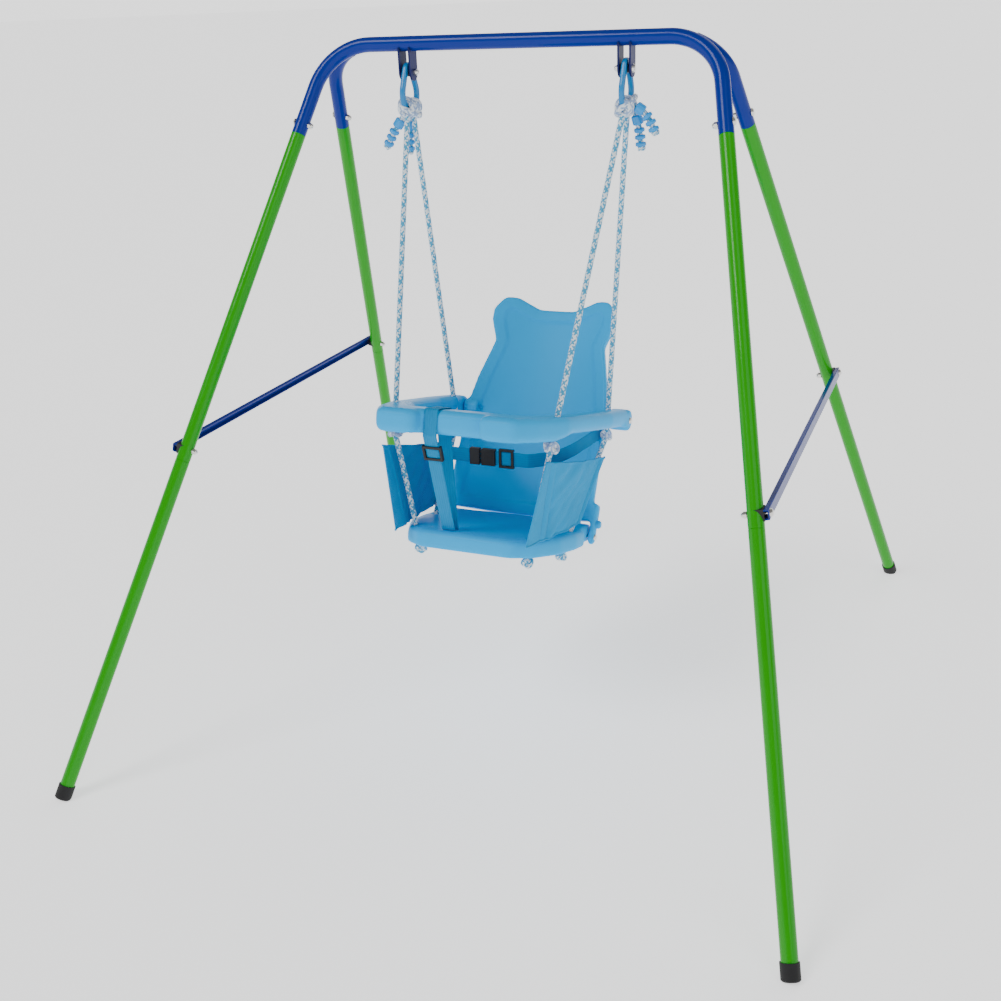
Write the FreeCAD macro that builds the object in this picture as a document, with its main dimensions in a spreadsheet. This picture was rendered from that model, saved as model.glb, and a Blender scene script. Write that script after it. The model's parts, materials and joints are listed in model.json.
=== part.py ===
import FreeCAD, Part
import math
import os
import Sketcher

# Toddler swing set: a bolted tube A-frame with a hanging bucket seat.
#
# Units are millimetres. The frame's own axes: +X along the crossbar to the right,
# +Y to the back of the set, +Z up. The origin is on the floor, under the middle of
# the crossbar. The seat's pieces are drawn in the seat's own frame, whose XY plane
# is the top of the guard tray, and then placed as the seat hangs.

Vector = FreeCAD.Vector
Rotation = FreeCAD.Rotation
Placement = FreeCAD.Placement
UP = Vector(0, 0, 1)
RIGHT = Vector(1, 0, 0)
BACK = Vector(0, 1, 0)

# ---------------------------------------------------------------- dimensions
DIMENSIONS = [
    # frame
    ("tube_radius", 12.7, "outer radius of every frame tube (25.4 mm tube)"),
    ("tube_bore", 11.3, "inner radius of the frame tubes"),
    ("tube_edge", 0.6, "chamfer on the ends of the leg tubes"),
    ("spigot_radius", 11.1, "outer radius of a leg's reduced end"),
    ("spigot_bore", 9.8, "inner radius of a leg's reduced end"),
    ("spigot_length", 42.0, "how far a reduced end goes into the next tube"),
    ("bar_height", 1214.0, "crossbar axis above the floor"),
    ("apex_half", 349.0, "half distance of the leg lines where they meet the bar's height"),
    ("splay_side", 0.239, "sideways run of a leg for each unit of drop"),
    ("splay_depth", 0.5605, "front or rear run of a leg for each unit of drop"),
    ("bend_radius", 97.0, "centreline radius of the bends at the top corners"),
    ("joint_height", 1071.0, "lower end of the blue tubes above the floor"),
    ("seam_height", 545.0, "seam between the upper and lower legs"),
    ("joint_bolt_up", 17.0, "joint bolt above the lower end of the blue tube"),
    ("brace_height", 564.0, "height of the side braces and their bolts"),
    ("cap_radius", 14.5, "outer radius of a foot cap"),
    ("cap_depth", 26.0, "length of a foot cap"),
    ("cap_floor", 7.6, "thickness of a foot cap's closed end"),
    ("cap_clearance", 0.15, "gap between a leg and its foot cap"),
    ("cap_lift", 1.5, "centre of a foot cap's closed end above the floor"),
    ("brace_width", 16.0, "height of the side brace's section"),
    ("brace_depth", 8.0, "depth of the side brace's channel"),
    ("brace_wall", 1.6, "wall of the side brace"),
    ("brace_over", 10.0, "how far a brace runs past its bolts"),
    ("saddle_gap", 2.0, "thinnest part of the saddle between leg and brace"),
    ("saddle_size", 19.0, "side of the square saddle"),
    ("bolt_radius", 3.0, "shank radius of the frame bolts"),
    ("bolt_hole", 3.2, "radius of the frame bolt holes"),
    ("head_radius", 6.6, "radius of the domed bolt heads"),
    ("head_height", 4.0, "height of the domed bolt heads"),
    ("nut_across", 5.6, "circumradius of the cap nuts"),
    ("nut_height", 5.0, "height of the cap nuts' hexagon"),
    # hangers
    ("hanger_half", 198.0, "half distance between the two hangers"),
    ("pivot_height", 1167.0, "swing axis above the floor"),
    ("ear_pitch", 20.0, "distance between the middles of a hanger's two ears"),
    ("ear_wall", 3.0, "thickness of an ear"),
    ("ear_width", 28.0, "width of an ear"),
    ("pivot_radius", 4.0, "shank radius of the pivot bolts"),
    ("pivot_hole", 4.05, "radius of the pivot holes"),
    ("bush_radius", 7.0, "outer radius of the pivot bush"),
    ("bush_bore", 4.15, "inner radius of the pivot bush"),
    ("bush_side_gap", 0.4, "gap between a bush's end and an ear"),
    ("ring_bore_top", 7.4, "inner radius of the ring's top, over the bush"),
    ("ring_bore_foot", 23.0, "inner radius of the ring's rounded foot"),
    ("ring_drop", 36.0, "distance between the ring's two arc centres"),
    ("ring_web", 9.5, "width of the ring's section in its own plane"),
    ("ring_depth", 9.0, "thickness of the ring along the crossbar"),
    ("ring_edge", 3.2, "rounding of the ring's edges"),
    ("rope_radius", 5.0, "radius of the rope"),
    ("knot_height", 1110.0, "middle of the top knots above the floor"),
    ("knot_across", 14.0, "half width of a top knot along the crossbar"),
    ("knot_along", 25.0, "half length of a top knot, front to back"),
    ("knot_tall", 16.0, "half height of a top knot"),
    ("rope_spread", 9.0, "how far the front and rear ropes leave each side of a knot's middle"),
    # seat frame, as it hangs
    ("seat_y", -102.5, "middle of the tray's rope holes, front to back"),
    ("seat_z", 605.0, "middle of the tray's rope holes above the floor"),
    ("seat_tilt", 15.3, "how far the tray's front is tipped up, in degrees"),
    # guard tray
    ("tray_height", 42.0, "height of the guard tray at its lobes"),
    ("arm_height", 32.0, "height of the tray's arms behind the lobes"),
    ("tray_wall", 4.5, "wall of the tray, left round the hollow underside"),
    ("tray_roof", 5.5, "thickness of the tray's top"),
    ("bar_front", 228.0, "front of the bar between the two lobes"),
    ("lobe_in", 55.5, "inner side of a front lobe"),
    ("lobe_front", 258.0, "front of the lobes"),
    ("lobe_out", 122.0, "outer side of a front lobe"),
    ("corner_x", 146.0, "tray's front outer corner, sideways"),
    ("corner_y", 212.0, "tray's front outer corner, forwards"),
    ("arm_front_x", 170.0, "outer side of the arm beside the front rope hole"),
    ("arm_front_y", 130.0, "place of that point, forwards"),
    ("arm_half", 188.0, "outer side of the arm at its rear end"),
    ("arm_mid_y", 60.0, "where the arm reaches its full width, backwards"),
    ("arm_end", 171.0, "bolt in the arm's round rear end, backwards"),
    ("arm_in", 149.0, "inner side of the arm at its rear end"),
    ("arm_in_front", 129.0, "inner side of the arm beside the front rope hole"),
    ("inner_corner", 104.0, "inner front corner, sideways"),
    ("bar_back", 172.0, "rear of the front bar"),
    ("drum_radius", 20.0, "radius of the arm's round rear end"),
    ("drum_drop", 20.5, "middle of the round end below the tray's top"),
    ("hole_front_x", 149.0, "front rope hole, sideways"),
    ("hole_front_y", 134.0, "front rope hole, forwards"),
    ("hole_rear_x", 157.0, "rear rope hole, sideways"),
    ("hole_rear_y", 128.0, "rear rope hole, backwards"),
    ("tray_knot_across", 11.5, "half width of the knots under the tray"),
    ("tray_knot_along", 9.0, "half length of the knots under the tray"),
    ("pan_knot_across", 11.0, "half width of the knots under the pan"),
    ("pan_knot_along", 8.5, "half length of the knots under the pan"),
    ("bend_drop", 52.0, "turn of a rope below the tray's top, along the rope"),
    ("hole_radius", 5.8, "radius of the rope holes"),
    ("lobe_round", 18.0, "rounding of the lobes seen from above"),
    ("notch_round", 5.0, "rounding where the lobes meet the bar"),
    ("arm_round", 60.0, "bends along the arms seen from above"),
    ("inner_round", 25.0, "rounding of the well's front corners"),
    ("tray_round", 12.5, "rounding of the tray's upper edges"),
    # seat pan
    ("pan_top", 215.0, "top of the seat pan below the tray's top"),
    ("pan_height", 32.0, "height of the seat pan"),
    ("pan_wall", 5.0, "side wall of the hollow pan"),
    ("pan_roof", 4.0, "thickness of the hollow pan's top"),
    ("pan_floor", 2.5, "thickness of the hollow pan's underside"),
    ("pan_front", 150.0, "front edge of the seat pan"),
    ("pan_front_half", 84.0, "half width of the straight front edge"),
    ("pan_corner_x", 120.0, "pan's front corner, sideways"),
    ("pan_corner_y", 122.0, "pan's front corner, forwards"),
    ("pan_side_x", 146.0, "pan's side, sideways"),
    ("pan_side_y", 62.0, "pan's side, forwards"),
    ("pan_half", 155.0, "half width of the pan"),
    ("pan_step", 50.0, "where the pan narrows for the backrest, backwards"),
    ("pan_rear_half", 145.0, "half width of the pan between the backrest's ears"),
    ("pan_rear", 116.0, "rear edge of the pan"),
    ("pan_corner", 26.0, "rounding of the pan's corners seen from above"),
    ("pan_round", 11.0, "rounding of the pan's upper edge"),
    ("knot_below", 10.5, "middle of the lower knots under the pan"),
    ("pan_hole_front_x", 110.0, "front rope hole in the pan, sideways"),
    ("pan_hole_front_y", 110.0, "front rope hole in the pan, forwards"),
    ("pan_hole_rear_x", 134.0, "rear rope hole in the pan, sideways"),
    ("pan_hole_rear_y", 25.0, "rear rope hole in the pan, backwards"),
    # backrest, in its own plane: x sideways, z up along it from the lower bolts
    ("back_lean", 18.3, "how far the backrest leans back from the seat's own upright"),
    ("back_foot_y", 98.0, "lower bolts of the backrest, backwards"),
    ("back_foot_z", 236.0, "lower bolts of the backrest below the tray's top"),
    ("back_dish", 350.0, "radius of the backrest's dished face"),
    ("back_thick", 19.0, "thickness of the backrest"),
    ("back_low_half", 146.0, "half width of the backrest at its foot"),
    ("back_mid_half", 142.5, "half width of the backrest at the tray"),
    ("back_top_half", 132.0, "half width just above the tray"),
    ("neck_half", 112.0, "half width at the neck"),
    ("head_half", 125.0, "half width of the head part"),
    ("horn_half", 96.0, "highest point of the head's two rounded horns, sideways"),
    ("dip_half", 36.0, "edge of the dip between the horns, sideways"),
    ("back_low", 28.0, "lower edge of the backrest"),
    ("back_mid", 228.0, "height of the tray's level"),
    ("back_top", 290.0, "height just above the tray"),
    ("neck_height", 368.0, "height of the neck"),
    ("head_height_at", 425.0, "height of the head's widest place"),
    ("horn_height", 461.0, "top of the horns"),
    ("dip_height", 441.0, "bottom of the dip between the horns"),
    ("ear_foot_in", 146.5, "inner side of the backrest's lower ears"),
    ("ear_foot_out", 158.0, "outer side of the backrest's lower ears"),
    ("ear_foot_radius", 15.0, "radius of the backrest's lower ears"),
    ("lug_radius", 16.0, "radius of the lugs that the tray's arms bolt to"),
    ("lug_in", 118.0, "inner end of the lugs"),
    # webbing and fabric
    ("web_width", 25.0, "width of the webbing"),
    ("web_thick", 1.6, "thickness of the webbing"),
    ("strap_x", 37.0, "middle of the crotch strap, to the left"),
    ("strap_foot_front", 131.0, "front layer of the crotch strap on the pan, forwards"),
    ("strap_foot_rear", 116.0, "rear layer of the crotch strap on the pan, forwards"),
    ("belt_drop", 79.0, "middle of the lap belt's ends below the tray's top"),
    ("belt_tip", 12.0, "how far the lap belt dips to the front, in degrees"),
    ("belt_side_x", 138.0, "lap belt at the backrest, sideways"),
    ("belt_side_y", 160.0, "lap belt at the backrest, backwards"),
    ("belt_turn_x", 122.0, "lap belt beside the child's hip, sideways"),
    ("belt_turn_y", 5.0, "lap belt beside the child's hip, forwards"),
    ("belt_front_x", 76.0, "start of the lap belt's straight front, sideways"),
    ("belt_front_y", 52.0, "straight front of the lap belt, forwards"),
    ("belt_end_x", 24.0, "half length of the fastened buckle"),
    ("buckle_left", 14.0, "how far the buckle sits to the left of the middle"),
    ("adjuster_x", 31.0, "lap belt's slider, to the right of the middle"),
    ("panel_thick", 2.0, "thickness of the fabric side panels"),
    ("panel_off", 6.6, "fabric side panel outside the rope's axis"),
    ("seat_bolt", 3.0, "shank radius of the seat's bolts"),
    ("knob_radius", 7.5, "radius of the seat's cap knobs"),
]

doc = FreeCAD.newDocument("swing_set")
sheet = doc.addObject("Spreadsheet::Sheet", "Dimensions")
for row, (alias, value, note) in enumerate(DIMENSIONS, start=1):
    sheet.set(f"A{row}", note)
    sheet.set(f"B{row}", str(value))
    sheet.setAlias(f"B{row}", alias)
doc.recompute()


class Size:
    """A length that carries both its value and the sheet expression it comes from."""

    def __init__(self, value, formula):
        self.value = float(value)
        self.formula = formula

    def __float__(self):
        return self.value

    def __add__(self, other):
        other = as_size(other)
        return Size(self.value + other.value, f"({self.formula} + {other.formula})")

    def __sub__(self, other):
        other = as_size(other)
        return Size(self.value - other.value, f"({self.formula} - {other.formula})")

    def __mul__(self, other):
        other = as_size(other)
        return Size(self.value * other.value, f"({self.formula} * {other.formula})")

    def __truediv__(self, other):
        other = as_size(other)
        return Size(self.value / other.value, f"({self.formula} / {other.formula})")

    def __neg__(self):
        return Size(-self.value, f"(0 - {self.formula})")

    def __rsub__(self, other):
        return as_size(other) - self

    __radd__ = __add__


def as_size(number):
    """A plain number as a Size, so that it can stand in a formula."""
    return number if isinstance(number, Size) else Size(number, repr(float(number)))


class Sheet:
    """Reads the sheet's cells by alias: dim.tube_radius is a Size."""

    def __getattr__(self, alias):
        return Size(getattr(sheet, alias), f"Dimensions.{alias}")


dim = Sheet()
NODES = []


def node(name, made):
    """Label an object as one named piece of the set."""
    made.Label = name
    NODES.append(made)
    return made


def facing(at, along, roll=UP):
    """A placement whose local Z axis points along the given direction."""
    return Placement(at, Rotation(roll, along))


# ---------------------------------------------------------------- shape helpers
def cylinder(name, radius, height, place):
    made = doc.addObject("Part::Cylinder", name)
    made.setExpression("Radius", as_size(radius).formula)
    made.setExpression("Height", as_size(height).formula)
    made.Placement = place
    return made


def box(name, length, width, height, place):
    """A box centred on its placement in X and Y, standing on it in Z."""
    made = doc.addObject("Part::Box", name)
    made.setExpression("Length", as_size(length).formula)
    made.setExpression("Width", as_size(width).formula)
    made.setExpression("Height", as_size(height).formula)
    corner = Vector(-float(length) / 2, -float(width) / 2, 0)
    made.Placement = place.multiply(Placement(corner, Rotation()))
    return made


def cut(name, base, *tools):
    """Base less the tools."""
    tool = tools[0]
    if len(tools) > 1:
        tool = doc.addObject("Part::MultiFuse", name + "_tools")
        tool.Shapes = list(tools)
    made = doc.addObject("Part::Cut", name)
    made.Base = base
    made.Tool = tool
    return made


def fuse(name, *solids):
    made = doc.addObject("Part::MultiFuse", name)
    made.Shapes = list(solids)
    return made


def group(name, solids):
    """Like pieces kept apart as separate solids of one node."""
    made = doc.addObject("Part::Compound", name)
    made.Links = list(solids)
    return made


def plane_of(body, role):
    return [feature for feature in body.Origin.OriginFeatures if feature.Role == role][0]


def new_sketch(body, name, role):
    sketch = body.newObject("Sketcher::SketchObject", name)
    sketch.AttachmentSupport = (plane_of(body, role), [""])
    sketch.MapMode = "FlatFace"
    return sketch


def pin_point(sketch, geometry, which, point):
    """Tie one point of a sketch to the sheet, in both directions."""
    for kind, size in zip(("DistanceX", "DistanceY"), point):
        size = as_size(size)
        if size.value == 0:
            axis = -2 if kind == "DistanceX" else -1
            sketch.addConstraint(Sketcher.Constraint("PointOnObject", geometry, which, axis))
            continue
        index = sketch.addConstraint(
            Sketcher.Constraint(kind, -1, 1, geometry, which, size.value))
        sketch.setExpression(f"Constraints[{index}]", size.formula)


def polygon(sketch, points):
    """A closed outline of straight sides through points bound to the sheet."""
    flat = [Vector(float(as_size(x)), float(as_size(y)), 0) for x, y in points]
    first = sketch.GeometryCount
    count = len(points)
    for i in range(count):
        sketch.addGeometry(Part.LineSegment(flat[i], flat[(i + 1) % count]))
    for i in range(count):
        following = first + (i + 1) % count
        sketch.addConstraint(Sketcher.Constraint("Coincident", first + i, 2, following, 1))
    for i, point in enumerate(points):
        pin_point(sketch, first + i, 1, point)


def mirrored(half):
    """A half outline, listed from the middle of one edge round to the middle of the other,
    completed by its mirror image in the plane x = 0."""
    other = [(-as_size(x), y) for x, y in reversed(half) if float(as_size(x)) != 0]
    return half + other


def turned(name, profile, place):
    """A turned piece: a profile of (radius, height) points revolved about local Z."""
    body = doc.addObject("PartDesign::Body", name)
    sketch = new_sketch(body, name + "_profile", "XZ_Plane")
    polygon(sketch, profile)
    spin = body.newObject("PartDesign::Revolution", name + "_turn")
    spin.Profile = sketch
    spin.ReferenceAxis = (sketch, ["V_Axis"])
    spin.Angle = 360
    body.Placement = place
    return body


def padded(name, role, points, height, place):
    """A body whose outline is padded by a height."""
    body = doc.addObject("PartDesign::Body", name)
    sketch = new_sketch(body, name + "_outline", role)
    polygon(sketch, points)
    pad = body.newObject("PartDesign::Pad", name + "_pad")
    pad.Profile = sketch
    pad.setExpression("Length", as_size(height).formula)
    body.Placement = place
    doc.recompute()
    return body


def round_edges(body, radius, chosen):
    """Round the edges of a body's last feature that the test accepts."""
    doc.recompute()
    last = body.Tip
    edges = [f"Edge{i}" for i, edge in enumerate(last.Shape.Edges, start=1) if chosen(edge)]
    fillet = body.newObject("PartDesign::Fillet", f"{body.Name}_round_{len(body.Group)}")
    fillet.Base = (last, edges)
    fillet.setExpression("Radius", as_size(radius).formula)
    body.Tip = fillet
    doc.recompute()
    return fillet


def pocket_below(body, name, points, depth, floor):
    """Hollow a body from its floor up by a depth, inside an outline."""
    sketch = new_sketch(body, name, "XY_Plane")
    sketch.setExpression(".AttachmentOffset.Base.z", as_size(floor).formula)
    polygon(sketch, points)
    pocket = body.newObject("PartDesign::Pocket", name + "_pocket")
    pocket.Profile = sketch
    pocket.Reversed = True
    pocket.setExpression("Length", as_size(depth).formula)
    body.Tip = pocket
    doc.recompute()
    return pocket


def is_upright(edge):
    first, last = edge.Vertexes[0].Point, edge.Vertexes[-1].Point
    return abs(first.x - last.x) < 0.01 and abs(first.y - last.y) < 0.01


def corner_at(x, y):
    """Accepts the upright edges at a corner of the outline and at its mirror image."""
    def test(edge):
        point = edge.Vertexes[0].Point
        return (is_upright(edge) and abs(abs(point.x) - float(x)) < 0.01
                and abs(point.y - float(y)) < 0.01)
    return test


def at_height(height):
    def test(edge):
        return all(abs(vertex.Point.z - float(height)) < 0.01 for vertex in edge.Vertexes)
    return test


# ---------------------------------------------------------------- frame geometry
SIDES = (("left", -1), ("right", 1))
ENDS = (("front", -1), ("rear", 1))


def leg_point(side, end, height):
    """The point of a leg's axis at a height above the floor."""
    drop = float(dim.bar_height) - height
    return Vector(side * (float(dim.apex_half) + float(dim.splay_side) * drop),
                  end * float(dim.splay_depth) * drop, height)


def leg_direction(side, end):
    """Unit direction up a leg."""
    return (leg_point(side, end, 1000) - leg_point(side, end, 0)).normalize()


SPLAY_TILT = math.atan(float(dim.splay_depth))
PLANE_DROP = math.sqrt(1 + float(dim.splay_depth) ** 2)
LEAN = math.atan(float(dim.splay_side) / PLANE_DROP)
TURN = math.pi / 2 - LEAN
TANGENT = float(dim.bend_radius) * math.tan(TURN / 2)
BEND_START = float(dim.apex_half) - TANGENT
STUB_END = Vector(float(dim.apex_half) + float(dim.splay_side) * (
    float(dim.bar_height) - float(dim.joint_height)), 0,
    -PLANE_DROP * (float(dim.bar_height) - float(dim.joint_height)))


def bend_point(angle):
    """A point of the corner bend's centreline in the tilted plane, by its angle."""
    radius = float(dim.bend_radius)
    return Vector(BEND_START + radius * math.sin(angle), 0, -radius * (1 - math.cos(angle)))


def tilted_plane(end):
    """Placement of the plane that holds the crossbar and one pair of legs."""
    angle = end * math.degrees(SPLAY_TILT)
    return Placement(Vector(0, 0, float(dim.bar_height)), Rotation(RIGHT, angle))


def swept(path, radius, start, along):
    """A solid rod of a radius swept along a wire."""
    circle = Part.Wire([Part.Circle(start, along, float(radius)).toShape()])
    return path.makePipeShell([circle], True, False)


CROSS_TILT = math.degrees(math.atan(float(dim.splay_side)))


def across(side):
    """Outward direction square to both legs of a side: the way every leg bolt points."""
    tilt = math.radians(CROSS_TILT)
    return Vector(side * math.cos(tilt), 0, math.sin(tilt))


def joint_pin(name, side, end, height, radius, reach):
    """A cylinder square through a leg at a height, for a bolt hole."""
    start = leg_point(side, end, height) - across(side) * reach
    return cylinder(name, radius, 2 * reach, facing(start, across(side)))


JOINT_BOLT_HEIGHT = float(dim.joint_height) + float(dim.joint_bolt_up)


def make_top_tube():
    """The crossbar and the two front corners, bent from one tube."""
    body = doc.addObject("PartDesign::Body", "top_tube_body")
    profile = new_sketch(body, "tube_section", "YZ_Plane")
    for size in (dim.tube_radius, dim.tube_bore):
        ring = profile.addGeometry(Part.Circle(Vector(), UP, float(size)))
        profile.addConstraint(Sketcher.Constraint("Coincident", ring, 3, -1, 1))
        index = profile.addConstraint(Sketcher.Constraint("Radius", ring, float(size)))
        profile.setExpression(f"Constraints[{index}]", size.formula)
    path = new_sketch(body, "tube_path", "XZ_Plane")
    start, middle, finish = (bend_point(TURN * part) for part in (0, 0.5, 1))
    flat = [Vector(p.x, p.z, 0) for p in (start, middle, finish, STUB_END)]
    path.addGeometry(Part.LineSegment(Vector(0, 0, 0), flat[0]))
    path.addGeometry(Part.Arc(flat[0], flat[1], flat[2]))
    path.addGeometry(Part.LineSegment(flat[2], flat[3]))
    path.addConstraint(Sketcher.Constraint("Coincident", 0, 1, -1, 1))
    path.addConstraint(Sketcher.Constraint("Horizontal", 0))
    path.addConstraint(Sketcher.Constraint("Tangent", 0, 2, 1, 2))
    path.addConstraint(Sketcher.Constraint("Tangent", 1, 1, 2, 1))
    index = path.addConstraint(
        Sketcher.Constraint("Radius", 1, float(dim.bend_radius)))
    path.setExpression(f"Constraints[{index}]", dim.bend_radius.formula)
    path.addConstraint(Sketcher.Constraint("DistanceX", -1, 1, 2, 2, flat[3].x))
    path.addConstraint(Sketcher.Constraint("DistanceY", -1, 1, 2, 2, flat[3].y))
    path.addConstraint(Sketcher.Constraint("DistanceX", 0, 1, 0, 2, flat[0].x))
    pipe = body.newObject("PartDesign::AdditivePipe", "tube_bend")
    pipe.Profile = profile
    pipe.Spine = (path, ["Edge1", "Edge2", "Edge3"])
    doc.recompute()
    mirror = body.newObject("PartDesign::Mirrored", "tube_mirror")
    mirror.Originals = [pipe]
    mirror.MirrorPlane = (plane_of(body, "YZ_Plane"), [""])
    body.Tip = mirror
    body.Placement = tilted_plane(-1)
    holes = [joint_pin(f"top_tube_hole_{name}", side, -1, JOINT_BOLT_HEIGHT, dim.bolt_hole, 20)
             for name, side in SIDES]
    return node("top_tube", cut("top_tube", body, *holes))


def half_path(start_angle, end_point):
    """Half of the bent tube's centreline, from an angle in the bend to its open end."""
    arc = Part.Arc(bend_point(start_angle), bend_point((start_angle + TURN) / 2),
                   bend_point(TURN)).toShape()
    run = Part.LineSegment(bend_point(TURN), end_point).toShape()
    return Part.Wire([arc, run])


def make_rear_stub(name, side):
    """A rear corner: a bent tube, coped and welded on the front tube's bend."""
    start_angle = math.radians(24)
    tangent = Vector(math.cos(start_angle), 0, -math.sin(start_angle))
    start = bend_point(start_angle)
    path = half_path(start_angle, STUB_END)
    shape = swept(path, dim.tube_radius, start, tangent)
    shape = shape.cut(swept(path, dim.tube_bore, start, tangent))
    front_path = Part.Wire([Part.LineSegment(Vector(150, 0, 0), bend_point(0)).toShape(),
                            Part.Arc(bend_point(0), bend_point(TURN / 2),
                                     bend_point(TURN)).toShape(),
                            Part.LineSegment(bend_point(TURN), STUB_END).toShape()])
    front = swept(front_path, dim.tube_radius, Vector(150, 0, 0), RIGHT)
    front.Placement = tilted_plane(-1)
    shape.Placement = tilted_plane(1)
    shape = shape.cut(front)
    if side < 0:
        shape = shape.mirror(Vector(), RIGHT)
    solids = sorted(shape.Solids, key=lambda solid: solid.Volume)
    stub = doc.addObject("Part::Feature", f"rear_stub_{name}_tube")
    stub.Shape = solids[-1]
    hole = joint_pin(f"rear_stub_hole_{name}", side, 1, JOINT_BOLT_HEIGHT, dim.bolt_hole, 20)
    return node(f"rear_stub_{name}", cut(f"rear_stub_{name}", stub, hole))


def make_leg(name, side, end, low, high, bolt_heights):
    """One leg tube from a low height to a high one, with a reduced upper end."""
    foot = leg_point(side, end, low)
    length = (leg_point(side, end, high) - foot).Length
    tube = dim.tube_radius
    edge = dim.tube_edge
    profile = [(dim.tube_bore, 0), (tube - edge, 0), (tube, edge), (tube, length - edge),
               (tube - edge, length), (dim.spigot_radius, length),
               (dim.spigot_radius, dim.spigot_length + length),
               (dim.spigot_bore, dim.spigot_length + length),
               (dim.spigot_bore, length - 3), (dim.tube_bore, length - 7)]
    place = facing(foot, leg_direction(side, end))
    body = turned(name + "_tube", profile, place)
    holes = [joint_pin(f"{name}_hole_{i}", side, end, height, dim.bolt_hole, 20)
             for i, height in enumerate(bolt_heights)]
    return node(name, cut(name, body, *holes))


def make_foot_cap(name, side, end):
    """A foot cap over a leg's end, with a small flat where it stands on the floor."""
    up = leg_direction(side, end)
    low = leg_point(side, end, float(dim.cap_lift))
    bore = dim.tube_radius + dim.cap_clearance
    profile = [(0, 0), (dim.cap_radius - 2, 0), (dim.cap_radius, 2),
               (dim.cap_radius, dim.cap_depth), (bore, dim.cap_depth),
               (bore, dim.cap_floor), (0, dim.cap_floor)]
    cap = turned(name + "_cup", profile, facing(low, up))
    ground = box(name + "_ground", 80, 80, 20, Placement(Vector(low.x, low.y, -20), Rotation()))
    return node(name, cut(name, cap, ground))


def leg_bottom_height():
    """Height of the leg tubes' lower ends, resting on the caps' floors."""
    return float(dim.cap_lift) + float(dim.cap_floor) * leg_direction(1, 1).z


BRACE_FACE = float(dim.tube_radius) + float(dim.saddle_gap)


def beside_leg(side, end, out, low):
    """A placement beside a leg at the braces' height, squared to the leg's bolts."""
    middle = leg_point(side, end, float(dim.brace_height))
    place = Placement(Vector(middle.x, middle.y if end else 0, middle.z),
                      Rotation(BACK, -side * CROSS_TILT))
    return place.multiply(Placement(Vector(side * out, 0, low), Rotation()))


def make_side_brace(name, side):
    """A channel that ties a front leg to the rear leg of the same side."""
    reach = leg_point(side, 1, float(dim.brace_height)).y + float(dim.brace_over)
    middle = BRACE_FACE + float(dim.brace_depth) / 2
    wall = float(dim.brace_wall)
    low = -float(dim.brace_width) / 2
    outer = box(name + "_outer", dim.brace_depth, 2 * reach, dim.brace_width,
                beside_leg(side, 0, middle, low))
    inner = box(name + "_inner", dim.brace_depth, 2 * reach + 2,
                dim.brace_width - dim.brace_wall * 2,
                beside_leg(side, 0, middle - wall, low + wall))
    rounded = doc.addObject("Part::Fillet", name + "_rounded")
    rounded.Base = outer
    doc.recompute()
    outward = max(edge.CenterOfMass.dot(across(side)) for edge in outer.Shape.Edges)
    along = [i for i, edge in enumerate(outer.Shape.Edges, start=1)
             if edge.Length > 100 and edge.CenterOfMass.dot(across(side)) > outward - 1]
    rounded.Edges = [(i, 1.5, 1.5) for i in along]
    holes = [joint_pin(f"{name}_hole_{i}", side, end, float(dim.brace_height), dim.bolt_hole, 40)
             for i, (_, end) in enumerate(ENDS)]
    return node(name, cut(name, rounded, inner, *holes))


def make_saddle(name, side, end):
    """A spacer between a leg and a brace, hollowed to the leg."""
    height = float(dim.brace_height)
    size = float(dim.saddle_size)
    block = box(name + "_block", BRACE_FACE, size, size,
                beside_leg(side, end, BRACE_FACE / 2, -size / 2))
    start = leg_point(side, end, height - 60)
    leg = cylinder(name + "_leg", dim.tube_radius + 0.05, 140,
                   facing(start, leg_direction(side, end)))
    hole = joint_pin(name + "_hole", side, end, height, dim.bolt_hole, 40)
    return cut(name, block, leg, hole)


def make_bolt(name, start, along, length, radius, head_radius, head_height):
    """A round-headed bolt: its head sits at the start and its shank runs along."""
    profile = [(0, -as_size(head_height)), (head_radius * 0.55, -as_size(head_height)),
               (head_radius * 0.9, -as_size(head_height) * 0.6), (head_radius, 0),
               (radius, 0), (radius, length), (0, length)]
    return turned(name, profile, facing(start, along))


def make_cap_nut(name, start, along, bore):
    """A domed cap nut that the bolt's end goes into."""
    place = facing(start, along)
    hexagon = doc.addObject("Part::Prism", name + "_hexagon")
    hexagon.Polygon = 6
    hexagon.setExpression("Circumradius", dim.nut_across.formula)
    hexagon.setExpression("Height", dim.nut_height.formula)
    hexagon.Placement = place
    dome_radius = dim.nut_across * 0.82
    dome = doc.addObject("Part::Sphere", name + "_dome")
    dome.setExpression("Radius", dome_radius.formula)
    dome.Angle1 = 0
    dome.Placement = place.multiply(Placement(Vector(0, 0, float(dim.nut_height)), Rotation()))
    body = fuse(name + "_body", hexagon, dome)
    hole = cylinder(name + "_bore", bore, dim.nut_height + 1, place)
    return cut(name, body, hole)


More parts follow.
